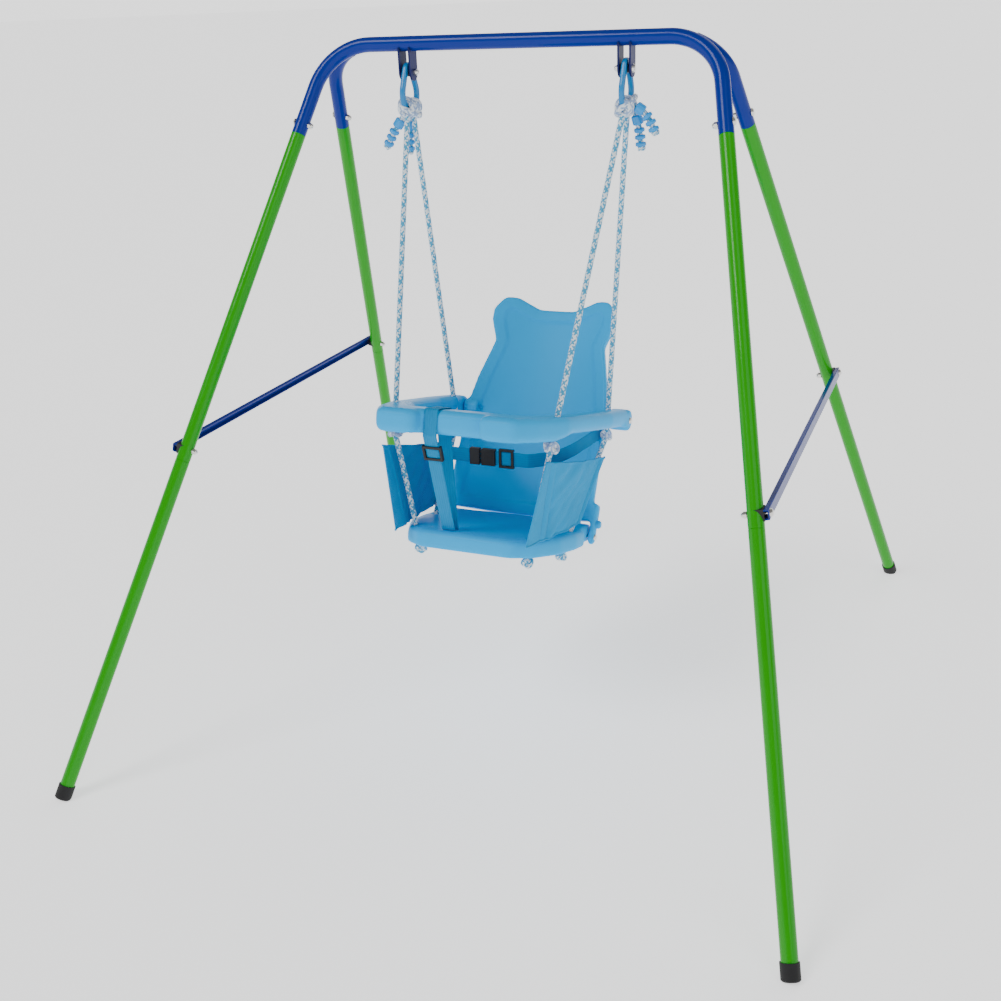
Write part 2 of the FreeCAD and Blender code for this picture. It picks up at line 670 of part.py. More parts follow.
def make_frame_fasteners():
    """Bolts through the leg joints and the braces, heads outside, cap nuts inside."""
    bolts, nuts, brace_bolts, brace_nuts = [], [], [], []
    tube = float(dim.tube_radius)
    thread = float(dim.nut_height) + 0.5
    places = ((JOINT_BOLT_HEIGHT, tube, "joint", bolts, nuts),
              (float(dim.brace_height), BRACE_FACE + float(dim.brace_depth), "brace",
               brace_bolts, brace_nuts))
    for side_name, side in SIDES:
        out = across(side)
        for end_name, end in ENDS:
            for height, reach, kind, made_bolts, made_nuts in places:
                tag = f"{kind}_{end_name}_{side_name}"
                middle = leg_point(side, end, height)
                made_bolts.append(make_bolt(f"bolt_{tag}", middle + out * reach, out * -1,
                                            reach + tube + thread, dim.bolt_radius,
                                            dim.head_radius, dim.head_height))
                made_nuts.append(make_cap_nut(f"nut_{tag}", middle - out * tube, out * -1,
                                              dim.bolt_radius + 0.02))
    node("leg_joint_bolts", group("leg_joint_bolts", bolts))
    node("leg_joint_nuts", group("leg_joint_nuts", nuts))
    node("brace_bolts", group("brace_bolts", brace_bolts))
    node("brace_nuts", group("brace_nuts", brace_nuts))


# ---------------------------------------------------------------- hangers
def make_hanger(name, side):
    """Two ears welded under the crossbar, with a bolt, a cap nut and a bush."""
    pivot_z = float(dim.pivot_height)
    ears = []
    bar = cylinder(f"bar_clear_{name}", dim.tube_radius, 120,
                   facing(Vector(side * float(dim.hanger_half) - 60, 0,
                                 float(dim.bar_height)), RIGHT))
    for i, step in enumerate((-0.5, 0.5)):
        x = side * float(dim.hanger_half) + step * float(dim.ear_pitch)
        plate = box(f"ear_plate_{name}_{i}", dim.ear_wall, dim.ear_width,
                    dim.bar_height - dim.pivot_height - 6,
                    Placement(Vector(x, 0, pivot_z), Rotation()))
        foot = cylinder(f"ear_foot_{name}_{i}", dim.ear_width / 2, dim.ear_wall,
                        facing(Vector(x - float(dim.ear_wall) / 2, 0, pivot_z), RIGHT))
        hole = cylinder(f"ear_hole_{name}_{i}", dim.pivot_hole, 10,
                        facing(Vector(x - 5, 0, pivot_z), RIGHT))
        blank = fuse(f"ear_blank_{name}_{i}", plate, foot)
        ears.append(cut(f"ear_{name}_{i}", blank, hole, bar))
    node(f"hanger_ears_{name}", group(f"hanger_ears_{name}", ears))
    outside = float(dim.hanger_half) + (float(dim.ear_pitch) + float(dim.ear_wall)) / 2
    inside = outside - float(dim.ear_pitch) - float(dim.ear_wall)
    bolt = make_bolt(f"pivot_bolt_{name}_solid", Vector(side * outside, 0, pivot_z),
                     RIGHT * -side, outside - inside + float(dim.nut_height) + 0.5,
                     dim.pivot_radius, dim.head_radius + 0.6, dim.head_height)
    nut = make_cap_nut(f"pivot_nut_{name}_solid", Vector(side * inside, 0, pivot_z),
                       RIGHT * -side, dim.pivot_radius + 0.02)
    length = dim.ear_pitch - dim.ear_wall - dim.bush_side_gap * 2
    start = side * float(dim.hanger_half) - float(length) / 2
    bush = turned(f"pivot_bush_{name}_solid",
                  [(dim.bush_bore, 0), (dim.bush_radius, 0), (dim.bush_radius, length),
                   (dim.bush_bore, length)], facing(Vector(start, 0, pivot_z), RIGHT))
    return bolt, nut, bush


def belt_outline(sketch, top, foot, drop):
    """A closed outline of two arcs, one above the other, joined by two tangent lines."""
    first = sketch.GeometryCount
    angle = math.asin((float(foot) - float(top)) / float(drop))
    low = Vector(0, -float(drop), 0)
    side = Vector(math.cos(angle), math.sin(angle), 0)
    other = Vector(-side.x, side.y, 0)
    top_ends = side * float(top), other * float(top)
    foot_ends = low + side * float(foot), low + other * float(foot)
    sketch.addGeometry(Part.Arc(top_ends[0], Vector(0, float(top), 0), top_ends[1]))
    sketch.addGeometry(Part.LineSegment(top_ends[1], foot_ends[1]))
    sketch.addGeometry(Part.Arc(foot_ends[1], low - Vector(0, float(foot), 0), foot_ends[0]))
    sketch.addGeometry(Part.LineSegment(foot_ends[0], top_ends[0]))
    arc_top, line_left, arc_foot, line_right = range(first, first + 4)
    for one, end_one, two, end_two in ((arc_top, 2, line_left, 1), (line_left, 2, arc_foot, 1),
                                       (arc_foot, 2, line_right, 1), (line_right, 2, arc_top, 1)):
        sketch.addConstraint(Sketcher.Constraint("Tangent", one, end_one, two, end_two))
    sketch.addConstraint(Sketcher.Constraint("Coincident", arc_top, 3, -1, 1))
    pin_point(sketch, arc_foot, 3, (0, -drop))
    for arc, size in ((arc_top, top), (arc_foot, foot)):
        index = sketch.addConstraint(Sketcher.Constraint("Radius", arc, float(size)))
        sketch.setExpression(f"Constraints[{index}]", size.formula)


def make_ring(name, side):
    """The pear-shaped ring that hangs on the bush and carries the ropes."""
    body = doc.addObject("PartDesign::Body", f"rope_ring_{name}_body")
    sketch = new_sketch(body, f"ring_outline_{name}", "YZ_Plane")
    belt_outline(sketch, dim.ring_bore_top + dim.ring_web, dim.ring_bore_foot + dim.ring_web,
                 dim.ring_drop)
    belt_outline(sketch, dim.ring_bore_top, dim.ring_bore_foot, dim.ring_drop)
    pad = body.newObject("PartDesign::Pad", f"ring_pad_{name}")
    pad.Profile = sketch
    pad.setExpression("Length", dim.ring_depth.formula)
    pad.Midplane = True
    round_edges(body, dim.ring_edge, lambda edge: abs(
        edge.Vertexes[0].Point.x - edge.Vertexes[-1].Point.x) < 0.01)
    body.Placement = Placement(
        Vector(side * float(dim.hanger_half), 0, float(dim.pivot_height)), Rotation())
    return node(f"rope_ring_{name}", body)


# ---------------------------------------------------------------- seat frame
SEAT = Placement(Vector(0, float(dim.seat_y), float(dim.seat_z)),
                 Rotation(RIGHT, -float(dim.seat_tilt)))


def in_seat(x, y, z):
    """A point of the seat's own frame, where the seat hangs."""
    return SEAT.multVec(Vector(float(as_size(x)), float(as_size(y)), float(as_size(z))))


def seat_place(x, y, z, rotation=None):
    """A placement given in the seat's own frame."""
    return SEAT.multiply(Placement(Vector(x, y, z), rotation or Rotation()))


def make_tray():
    """The guard tray: a horseshoe with two lobes in front and round, bolted rear ends."""
    half = [(0, -dim.bar_front), (dim.lobe_in, -dim.bar_front), (dim.lobe_in, -dim.lobe_front),
            (dim.lobe_out, -dim.lobe_front), (dim.corner_x, -dim.corner_y),
            (dim.arm_front_x, -dim.arm_front_y), (dim.arm_half, dim.arm_mid_y),
            (dim.arm_half, dim.arm_end), (dim.arm_in, dim.arm_end),
            (dim.arm_in, dim.arm_mid_y), (dim.arm_in_front, -dim.arm_front_y * 0.75),
            (dim.inner_corner, -dim.bar_back), (0, -dim.bar_back)]
    body = padded("tray_body", "XY_Plane", mirrored(half[1:-1]), dim.tray_height,
                  seat_place(0, 0, -float(dim.tray_height)))
    arm_inside = -dim.arm_front_y * 0.75
    corners = ((dim.lobe_round, dim.lobe_in, -dim.lobe_front),
               (dim.lobe_round, dim.lobe_out, -dim.lobe_front),
               (dim.notch_round, dim.lobe_in, -dim.bar_front),
               (dim.arm_round, dim.corner_x, -dim.corner_y),
               (dim.arm_round, dim.arm_front_x, -dim.arm_front_y),
               (dim.arm_round, dim.arm_in_front, arm_inside),
               (dim.inner_round, dim.inner_corner, -dim.bar_back))
    for radius, x, y in corners:
        round_edges(body, radius, corner_at(x, y))
    round_edges(body, dim.tray_round, lambda edge: at_height(dim.tray_height)(edge)
                and edge.CenterOfMass.y < float(dim.arm_end) - 0.1)
    wall = dim.tray_wall
    inner = [(dim.lobe_in + wall + 3, -dim.bar_front + wall),
             (dim.lobe_in + wall, -dim.lobe_front + wall + 9),
             (dim.lobe_in + wall + 9, -dim.lobe_front + wall),
             (dim.lobe_out - wall - 6, -dim.lobe_front + wall),
             (dim.lobe_out - wall + 6, -dim.lobe_front + wall + 12),
             (dim.corner_x - wall - 0.5, -dim.corner_y + wall * 0.4),
             (dim.arm_front_x - wall, -dim.arm_front_y), (dim.arm_half - wall, dim.arm_mid_y),
             (dim.arm_half - wall, dim.arm_mid_y + 30), (dim.arm_in + wall, dim.arm_mid_y + 30),
             (dim.arm_in + wall, dim.arm_mid_y - 2),
             (dim.arm_in_front + wall, arm_inside - 3),
             (dim.inner_corner + wall * 0.6, -dim.bar_back - wall)]
    pocket_below(body, "tray_hollow", mirrored(inner), dim.tray_height - dim.tray_roof, 0)
    bosses, drums, holes = [], [], []
    for name, side in SIDES:
        start = min(side * float(dim.arm_in), side * float(dim.arm_half))
        drum = cylinder(f"arm_end_{name}", dim.drum_radius, dim.arm_half - dim.arm_in,
                        SEAT.multiply(facing(Vector(start, float(dim.arm_end),
                                                    -float(dim.drum_drop)), RIGHT)))
        edge_round = doc.addObject("Part::Fillet", f"arm_end_round_{name}")
        edge_round.Base = drum
        doc.recompute()
        edge_round.Edges = [(i, 4, 4) for i, edge in enumerate(drum.Shape.Edges, start=1)
                            if len(edge.Vertexes) == 1]
        drums.append(edge_round)
        for x, y, tag in ((dim.hole_front_x, -dim.hole_front_y, "front"),
                          (dim.hole_rear_x, dim.hole_rear_y, "rear")):
            bosses.append(cylinder(f"hole_boss_{tag}_{name}", dim.hole_radius + 4,
                                   dim.tray_height - 1,
                                   seat_place(side * float(x), float(y),
                                              -float(dim.tray_height) + 0.5)))
            holes.append(cylinder(f"tray_hole_{tag}_{name}", dim.hole_radius, 90,
                                  rope_through(side, tag)))
        holes.append(seat_bolt_hole(f"tray_bolt_hole_{name}", side, dim.arm_end,
                                    -dim.drum_drop, 100))
    below = [(-dim.hole_front_y - 26, -dim.tray_height - 1),
             (-dim.hole_front_y - 24, -dim.tray_height),
             (-dim.hole_front_y + 30, -dim.arm_height), (dim.arm_end + 60, -dim.arm_height),
             (dim.arm_end + 60, -dim.tray_height - 1)]
    wedge = padded("tray_underside", "YZ_Plane", below, dim.arm_half * 2 + 20,
                   seat_place(-float(dim.arm_half) - 10, 0, 0))
    core = cut("tray_core", fuse("tray_shell", body, *bosses), wedge)
    return node("guard_tray", cut("guard_tray", fuse("tray_whole", core, *drums), *holes))


def seat_bolt_hole(name, side, y, z, inner):
    """A hole along X for a seat bolt, from inside the seat outwards."""
    start = Vector(side * inner, float(y), float(z))
    return cylinder(name, dim.seat_bolt + 0.2, 120,
                    SEAT.multiply(facing(start, RIGHT * side)))


def make_pan():
    """The seat pan: a hollow, closed moulding with rounded front corners."""
    half = [(dim.pan_front_half, -dim.pan_front), (dim.pan_corner_x, -dim.pan_corner_y),
            (dim.pan_side_x, -dim.pan_side_y), (dim.pan_half, 0), (dim.pan_half, dim.pan_step),
            (dim.pan_rear_half, dim.pan_step), (dim.pan_rear_half, dim.pan_rear)]
    low = -float(dim.pan_top) - float(dim.pan_height)
    body = padded("pan_body", "XY_Plane", mirrored(half), dim.pan_height, seat_place(0, 0, low))
    round_edges(body, dim.pan_corner, lambda edge: is_upright(edge)
                and edge.Vertexes[0].Point.y < float(dim.pan_step) - 1)
    round_edges(body, dim.pan_round, lambda edge: at_height(dim.pan_height)(edge)
                and edge.CenterOfMass.y < float(dim.pan_step) - 0.1)
    wall = dim.pan_wall
    inner = [(dim.pan_front_half, -dim.pan_front + wall),
             (dim.pan_corner_x - wall, -dim.pan_corner_y + wall),
             (dim.pan_side_x - wall, -dim.pan_side_y), (dim.pan_half - wall, 0),
             (dim.pan_half - wall, dim.pan_step - wall),
             (dim.pan_rear_half - wall, dim.pan_step - wall),
             (dim.pan_rear_half - wall, dim.pan_rear - 36), (80, dim.pan_rear - 36),
             (80, dim.pan_rear - wall)]
    pocket_below(body, "pan_hollow", mirrored(inner),
                 dim.pan_height - dim.pan_roof - dim.pan_floor, dim.pan_floor)
    solids, holes = [body], []
    for name, side in SIDES:
        for x, y, tag in ((dim.pan_hole_front_x, -dim.pan_hole_front_y, "front"),
                          (dim.pan_hole_rear_x, dim.pan_hole_rear_y, "rear")):
            place = seat_place(side * float(x), float(y), low + 0.5)
            solids.append(cylinder(f"pan_boss_{tag}_{name}", dim.hole_radius + 4,
                                   dim.pan_height - 1, place))
            holes.append(cylinder(f"pan_hole_{tag}_{name}", dim.hole_radius, 90,
                                  rope_into_pan(side, tag)))
        holes.append(seat_bolt_hole(f"pan_bolt_hole_{name}", side, dim.back_foot_y,
                                    -dim.back_foot_z, 90))
    return node("seat_pan", cut("seat_pan", fuse("pan_whole", *solids), *holes))


BACK_PLACE = SEAT.multiply(Placement(
    Vector(0, float(dim.back_foot_y), -float(dim.back_foot_z)),
    Rotation(RIGHT, -float(dim.back_lean))))


def make_backrest():
    """The dished backrest, with a neck, a two-horned head and ears for its bolts."""
    half = [(dim.back_low_half, dim.back_low), (dim.back_mid_half, dim.back_mid),
            (dim.back_top_half, dim.back_top), (dim.neck_half, dim.neck_height),
            (dim.head_half, dim.head_height_at - 18), (dim.head_half, dim.head_height_at + 8),
            (dim.horn_half + 12, dim.horn_height - 2), (dim.horn_half - 14, dim.horn_height),
            (dim.dip_half, dim.dip_height)]
    body = padded("backrest_blank", "XZ_Plane", mirrored(half), 140, BACK_PLACE)
    round_edges(body, 13, lambda edge: abs(
        edge.Vertexes[0].Point.x - edge.Vertexes[-1].Point.x) < 0.01
        and abs(edge.Vertexes[0].Point.z - edge.Vertexes[-1].Point.z) < 0.01
        and edge.Vertexes[0].Point.z > float(dim.back_top) + 1)
    sag = float(dim.back_dish) - math.sqrt(
        float(dim.back_dish) ** 2 - float(dim.back_mid_half) ** 2)
    axis = BACK_PLACE.multiply(Placement(
        Vector(0, sag - float(dim.back_dish), -60), Rotation()))
    outer = cylinder("back_outer", dim.back_dish + dim.back_thick / 2, 620, axis)
    inner = cylinder("back_inner", dim.back_dish - dim.back_thick / 2, 620, axis)
    shell = cut("back_shell", outer, inner)
    body.Placement = BACK_PLACE.multiply(Placement(Vector(0, 100, 0), Rotation()))
    plate = doc.addObject("Part::Common", "back_plate")
    plate.Base = body
    plate.Tool = shell
    solids, holes = [plate], []
    for name, side in SIDES:
        low = min(side * float(dim.ear_foot_in), side * float(dim.ear_foot_out))
        ear = cylinder(f"back_ear_{name}", dim.ear_foot_radius,
                       dim.ear_foot_out - dim.ear_foot_in,
                       SEAT.multiply(facing(Vector(low, float(dim.back_foot_y),
                                                   -float(dim.back_foot_z)), RIGHT)))
        web = box(f"back_ear_web_{name}", dim.ear_foot_out - dim.ear_foot_in, 24, 62,
                  BACK_PLACE.multiply(Placement(Vector(
                      side * (float(dim.ear_foot_in) + float(dim.ear_foot_out)) / 2, 0, 0),
                      Rotation())))
        cheek = box(f"back_cheek_{name}", 16, 16, 28, BACK_PLACE.multiply(Placement(
            Vector(side * (float(dim.ear_foot_in) - 5), 1, 34), Rotation())))
        low = min(side * float(dim.lug_in), side * (float(dim.arm_in) - 0.5))
        lug = cylinder(f"back_lug_{name}", dim.lug_radius, dim.arm_in - dim.lug_in - 0.5,
                       SEAT.multiply(facing(Vector(low, float(dim.arm_end),
                                                   -float(dim.drum_drop)), RIGHT)))
        solids += [ear, web, cheek, lug]
        holes.append(seat_bolt_hole(f"back_low_hole_{name}", side, dim.back_foot_y,
                                    -dim.back_foot_z, 90))
        holes.append(seat_bolt_hole(f"back_high_hole_{name}", side, dim.arm_end,
                                    -dim.drum_drop, 100))
    return node("backrest", cut("backrest", fuse("backrest_whole", *solids), *holes))


def make_seat_fasteners():
    """The four seat bolts with their nuts, and the lower bolts' cap knobs."""
    bolts, nuts, knobs = [], [], []
    for name, side in SIDES:
        places = (("arm", dim.arm_end, -dim.drum_drop, float(dim.arm_half),
                   float(dim.lug_in) + 2),
                  ("foot", dim.back_foot_y, -dim.back_foot_z, float(dim.ear_foot_out),
                   float(dim.pan_rear_half) - 22))
        for tag, y, z, outer, inner in places:
            start = Vector(side * outer, float(y), float(z))
            turn = facing(start, RIGHT * -side)
            place = SEAT.multiply(turn)
            along = place.Rotation.multVec(UP)
            bolts.append(make_bolt(f"seat_bolt_{tag}_{name}_solid", place.Base, along,
                                   outer - inner, dim.seat_bolt, dim.head_radius * 0.9,
                                   dim.head_height * 0.8))
        high = BACK_PLACE.multiply(facing(Vector(
            side * float(dim.ear_foot_out), 0, 24), RIGHT * side))
        knobs.append(turned(f"seat_knob_{name}_solid",
                            [(0, 0), (dim.knob_radius, 0), (dim.knob_radius, 5),
                             (dim.knob_radius - 2, 7.5), (0, 7.5)], high))
    node("seat_bolts", group("seat_bolts", bolts))
    node("seat_knobs", group("seat_knobs", knobs))


# ---------------------------------------------------------------- ropes
def tray_hole(side, tag):
    """Top of a rope hole in the tray, in the set's frame."""
    if tag == "front":
        return in_seat(side * dim.hole_front_x.value, -dim.hole_front_y, 0)
    return in_seat(side * dim.hole_rear_x.value, dim.hole_rear_y, 0)


def pan_hole(side, tag):
    """Top of a rope hole in the pan, in the set's frame."""
    if tag == "front":
        return in_seat(side * dim.pan_hole_front_x.value, -dim.pan_hole_front_y, -dim.pan_top)
    return in_seat(side * dim.pan_hole_rear_x.value, dim.pan_hole_rear_y, -dim.pan_top)


def knot_centre(side):
    """Middle of the knot in a ring."""
    return Vector(side * float(dim.hanger_half), -2, float(dim.knot_height))


def rope_start(side, tag):
    """Where a rope's axis starts inside its knot."""
    spread = float(dim.rope_spread) * (1 if tag == "rear" else -1)
    return knot_centre(side) + BACK * spread


def rope_bend(side, tag):
    """Where a rope turns, in the knot under the tray."""
    down = (tray_hole(side, tag) - rope_start(side, tag)).normalize()
    return tray_hole(side, tag) + down * float(dim.bend_drop)


def pan_knot(side, tag):
    """Middle of the knot that holds a rope under the pan."""
    down = (pan_hole(side, tag) - rope_bend(side, tag)).normalize()
    drop = -SEAT.Rotation.inverted().multVec(down).z
    return pan_hole(side, tag) + down * ((float(dim.pan_height) + float(dim.knot_below)) / drop)


def rope_through(side, tag):
    """A placement along the rope where it goes through the tray."""
    down = (tray_hole(side, tag) - rope_start(side, tag)).normalize()
    return facing(tray_hole(side, tag) - down * 20, down)


def rope_into_pan(side, tag):
    """A placement along the rope where it goes through the pan."""
    down = (pan_hole(side, tag) - rope_bend(side, tag)).normalize()
    return facing(pan_hole(side, tag) - down * 20, down)


def make_rope(name, side, tag, top_knot):
    """One rope from the ring's knot through the tray to below the seat pan."""
    start = rope_start(side, tag)
    bend = rope_bend(side, tag)
    foot = pan_hole(side, tag)
    down = (foot - bend).normalize()
    finish = pan_knot(side, tag)
    upper = cylinder(f"{name}_upper", dim.rope_radius, (bend - start).Length,
                     facing(start, bend - start))
    lower = cylinder(f"{name}_lower", dim.rope_radius, (finish - bend).Length,
                     facing(bend, finish - bend))
    elbow = doc.addObject("Part::Sphere", f"{name}_elbow")
    elbow.setExpression("Radius", dim.rope_radius.formula)
    elbow.Placement = Placement(bend, Rotation())
    return node(name, cut(name, fuse(f"{name}_runs", upper, elbow, lower), top_knot))


def ellipsoid(name, across_size, along, place):
    """A round knot: an ellipsoid with one radius along its placement's Z axis."""
    made = doc.addObject("Part::Ellipsoid", name)
    made.setExpression("Radius1", as_size(along).formula)
    made.setExpression("Radius2", as_size(across_size).formula)
    made.Placement = place
    return made


def cord_tube(points, radius):
    """A tube along straight runs joined by tangent arcs, and its smallest arc radius."""
    edges, radii = [], []
    here = points[0]
    for before, corner, after in zip(points, points[1:], points[2:]):
        back, ahead = before - corner, after - corner
        run = min(back.Length, ahead.Length)
        turn = math.pi - back.getAngle(ahead)
        bend = 0.45 * run / math.tan(turn / 2)
        radii.append(bend)
        trim = 0.45 * run
        first = corner + back * (trim / back.Length)
        last = corner + ahead * (trim / ahead.Length)
        towards = (back.normalize() + ahead.normalize()).normalize()
        middle = corner + towards * (bend / math.cos(turn / 2) - bend)
        edges += [Part.LineSegment(here, first).toShape(),
                  Part.Arc(first, middle, last).toShape()]
        here = last
    edges.append(Part.LineSegment(here, points[-1]).toShape())
    wire = Part.Wire(edges)
    tube = swept(wire, radius, points[0], points[1] - points[0])
    return tube, min(radii), wire.Length


# Routes of the rope's free ends from the top knots, in the set's frame.
TAILS = {
    "left_outer": [(-202, -7, 1104), (-207, -11, 1095), (-215, -14, 1083), (-225, -16, 1069),
                   (-234, -17, 1054), (-241, -17, 1041)],
    "left_inner": [(-203, 14.5, 1105), (-205.5, 18, 1092.5), (-208, 19, 1077), (-211, 19.5, 1061),
                   (-213, 19, 1044), (-214, 18.5, 1027)],
    "right_outer": [(206, -2, 1111), (216, -2, 1107.5), (227, -1, 1100), (236, 0, 1089),
                    (243, 0, 1076), (248, 0, 1063)],
    "right_inner": [(206, 10, 1104), (211, 13.5, 1093), (214, 15, 1080), (216, 16, 1066),
                    (218, 16.2, 1051), (219, 16, 1036.5)],
}
BEAD_RADIUS = 9.5
BEAD_LENGTH = 16.0
DISC_RADIUS = 9.2
DISC_LENGTH = 7.5
DISC_STEP = 11.5
BEAD_ROUND = 3.0


def tail_points(name):
    return [Vector(*point) for point in TAILS[name]]


def along_route(points, distance):
    """The point and direction at a distance before the route's far end."""
    far = len(points) - 1
    while far > 1 and (points[far] - points[far - 1]).Length < distance:
        distance -= (points[far] - points[far - 1]).Length
        far -= 1
    run = (points[far] - points[far - 1])
    length = run.Length
    return points[far] - run * (distance / length), run * (1 / length)


def make_tail(name, top_knot):
    """A free rope end with one long bead and three discs, and a knob at its end."""
    points = tail_points(name)
    shape, tightest, length = cord_tube(points, dim.rope_radius)
    section = math.pi * float(dim.rope_radius) ** 2
    print(f"tail {name}: length {length:.1f}, tightest arc {tightest:.1f}, "
          f"volume ratio {shape.Volume / (section * length):.4f}")
    blank = doc.addObject("Part::Feature", f"rope_tail_{name}_tube")
    blank.Shape = shape
    tube = node(f"rope_tail_{name}", cut(f"rope_tail_{name}", blank, top_knot))
    beads = []
    for i in range(4):
        is_bead = i == 3
        radius = BEAD_RADIUS if is_bead else DISC_RADIUS
        long = BEAD_LENGTH if is_bead else DISC_LENGTH
        middle, down = along_route(points, 9 + i * DISC_STEP + (5.5 if is_bead else 0))
        start = middle - down * (long / 2)
        solid = cylinder(f"bead_{name}_{i}_solid", radius, long, facing(start, down))
        rounded = doc.addObject("Part::Fillet", f"bead_{name}_{i}_round")
        rounded.Base = solid
        doc.recompute()
        rounded.Edges = [(k, BEAD_ROUND, BEAD_ROUND)
                         for k, edge in enumerate(solid.Shape.Edges, start=1)
                         if len(edge.Vertexes) == 1]
        beads.append(cut(f"bead_{name}_{i}", rounded, tube))
    node(f"tail_beads_{name}", group(f"tail_beads_{name}", beads))


def make_ropes():
    """Rings, top knots, ropes, lower knots and the free ends with beads."""
    knots, lower = [], []
    for name, side in SIDES:
        ring = make_ring(name, side)
        lump = ellipsoid(f"top_knot_{name}_lump", dim.knot_across, dim.knot_tall,
                         Placement(knot_centre(side), Rotation()))
        lump.setExpression("Radius3", dim.knot_along.formula)
        knot = node(f"top_knot_{name}", cut(f"top_knot_{name}", lump, ring))
        knots.append(knot)
        for tag, _ in ENDS:
            rope = make_rope(f"rope_{tag}_{name}", side, tag, lump)
            down = (rope_bend(side, tag) - tray_hole(side, tag)).normalize()
            place = facing(rope_bend(side, tag), down)
            lower.append(cut(f"tray_knot_{tag}_{name}",
                             ellipsoid(f"tray_knot_lump_{tag}_{name}",
                                       dim.tray_knot_across, dim.tray_knot_along, place), rope))
            down = (pan_hole(side, tag) - rope_bend(side, tag)).normalize()
            place = facing(pan_knot(side, tag), down)
            lower.append(cut(f"pan_knot_{tag}_{name}",
                             ellipsoid(f"pan_knot_lump_{tag}_{name}",
                                       dim.pan_knot_across, dim.pan_knot_along, place), rope))
        for ending in ("outer", "inner"):
            make_tail(f"{name}_{ending}", lump)
    node("rope_knots", group("rope_knots", lower))


# ---------------------------------------------------------------- fabric and webbing
def make_side_panel(name, side):
    """A fabric side panel between the two ropes of one side, from tray to pan."""
    def corner(tag, part, spread):
        top, foot = rope_bend(side, tag), pan_hole(side, tag)
        point = top + (foot - top) * part
        return point + BACK * spread + RIGHT * side * float(dim.panel_off)
    top = Part.LineSegment(corner("front", 0.08, -36), corner("rear", 0.25, 9)).toShape()
    foot = Part.LineSegment(corner("front", 0.93, -58), corner("rear", 0.93, 9)).toShape()
    sheet_face = Part.makeRuledSurface(top, foot)
    made = doc.addObject("Part::Feature", f"side_panel_{name}")
    made.Shape = sheet_face.extrude(RIGHT * side * float(dim.panel_thick))
    return node(f"side_panel_{name}", made)


def make_crotch_strap():
    """The crotch strap: a loop of webbing over the tray's bar and down to the pan."""
    thick = dim.web_thick
    front, rear = dim.bar_front + 2.2, dim.bar_back - 2.2
    low = dim.tray_height + 2
    foot = dim.pan_top - 0.1
    outer = [(-front, -low), (-front, 1), (-front + 2, 2.6), (-rear - 2, 2.6), (-rear, 1),
             (-rear, -low), (-dim.strap_foot_rear, -foot), (-dim.strap_foot_front, -foot)]
    inner = [(-front + thick, -low), (-front + thick, 0.4), (-front + thick + 1, 2.6 - thick),
             (-rear - thick - 1, 2.6 - thick), (-rear - thick, 0.4), (-rear - thick, -low),
             (-dim.strap_foot_rear - thick * 1.15, -foot - 1),
             (-dim.strap_foot_front + thick * 1.15, -foot - 1)]
    place = SEAT.multiply(Placement(Vector(-float(dim.strap_x) - float(dim.web_width) / 2, 0, 0),
                                    Rotation()))
    solid = padded("crotch_strap_outer", "YZ_Plane", outer, dim.web_width, place)
    gap = padded("crotch_strap_inner", "YZ_Plane", inner, dim.web_width + 2,
                 place.multiply(Placement(Vector(-1, 0, 0), Rotation())))
    return node("crotch_strap", cut("crotch_strap", solid, gap))


def tri_glide(name, place):
    """A three-bar slider that webbing runs through, along local Y, over the middle bar."""
    rail, gap, bar, reach = 4.0, 0.8, 5.0, 28.0
    over, under = 1.2, -3.4
    side_x = float(dim.web_width) / 2 + gap + rail / 2
    span = 2 * side_x + rail

    def piece(tag, long, wide, tall, x, y, z):
        made = box(f"{name}_{tag}", long, wide, tall,
                   place.multiply(Placement(Vector(x, y, z), Rotation())))
        rounded = doc.addObject("Part::Fillet", f"{name}_{tag}_round")
        rounded.Base = made
        doc.recompute()
        rounded.Edges = [(i, 0.6, 0.6) for i in range(1, 13)]
        return rounded

    solids = [piece("rail_right", rail, reach, 6.8, side_x, 0, under),
              piece("rail_left", rail, reach, 6.8, -side_x, 0, under),
              piece("bar_far", span, bar, 2.2, 0, (reach - bar) / 2, over),
              piece("bar_near", span, bar, 2.2, 0, (bar - reach) / 2, over),
              piece("bar_middle", span, bar, 2.2, 0, 0, under)]
    return node(name, fuse(name, *solids))


def strap_slope():
    """Angle of the crotch strap's front layer between the bar and the pan."""
    run = float(dim.bar_front) + 2.2 - float(dim.strap_foot_front)
    drop = float(dim.pan_top) - 0.1 - float(dim.tray_height) - 2
    return math.atan2(run, drop)


def make_crotch_adjuster():
    """The slider on the crotch strap's front layer."""
    slope = strap_slope()
    distance = 34.0
    inward = float(dim.web_thick) / 2
    y = -float(dim.bar_front) - 2.2 + inward * math.cos(slope) + distance * math.sin(slope)
    z = -float(dim.tray_height) - 2 + inward * math.sin(slope) - distance * math.cos(slope)
    turn = Rotation(RIGHT, 90 + math.degrees(slope))
    return tri_glide("crotch_adjuster", seat_place(-float(dim.strap_x), y, z, turn))


BELT = SEAT.multiply(Placement(Vector(0, 0, -float(dim.belt_drop)),
                               Rotation(RIGHT, float(dim.belt_tip))))


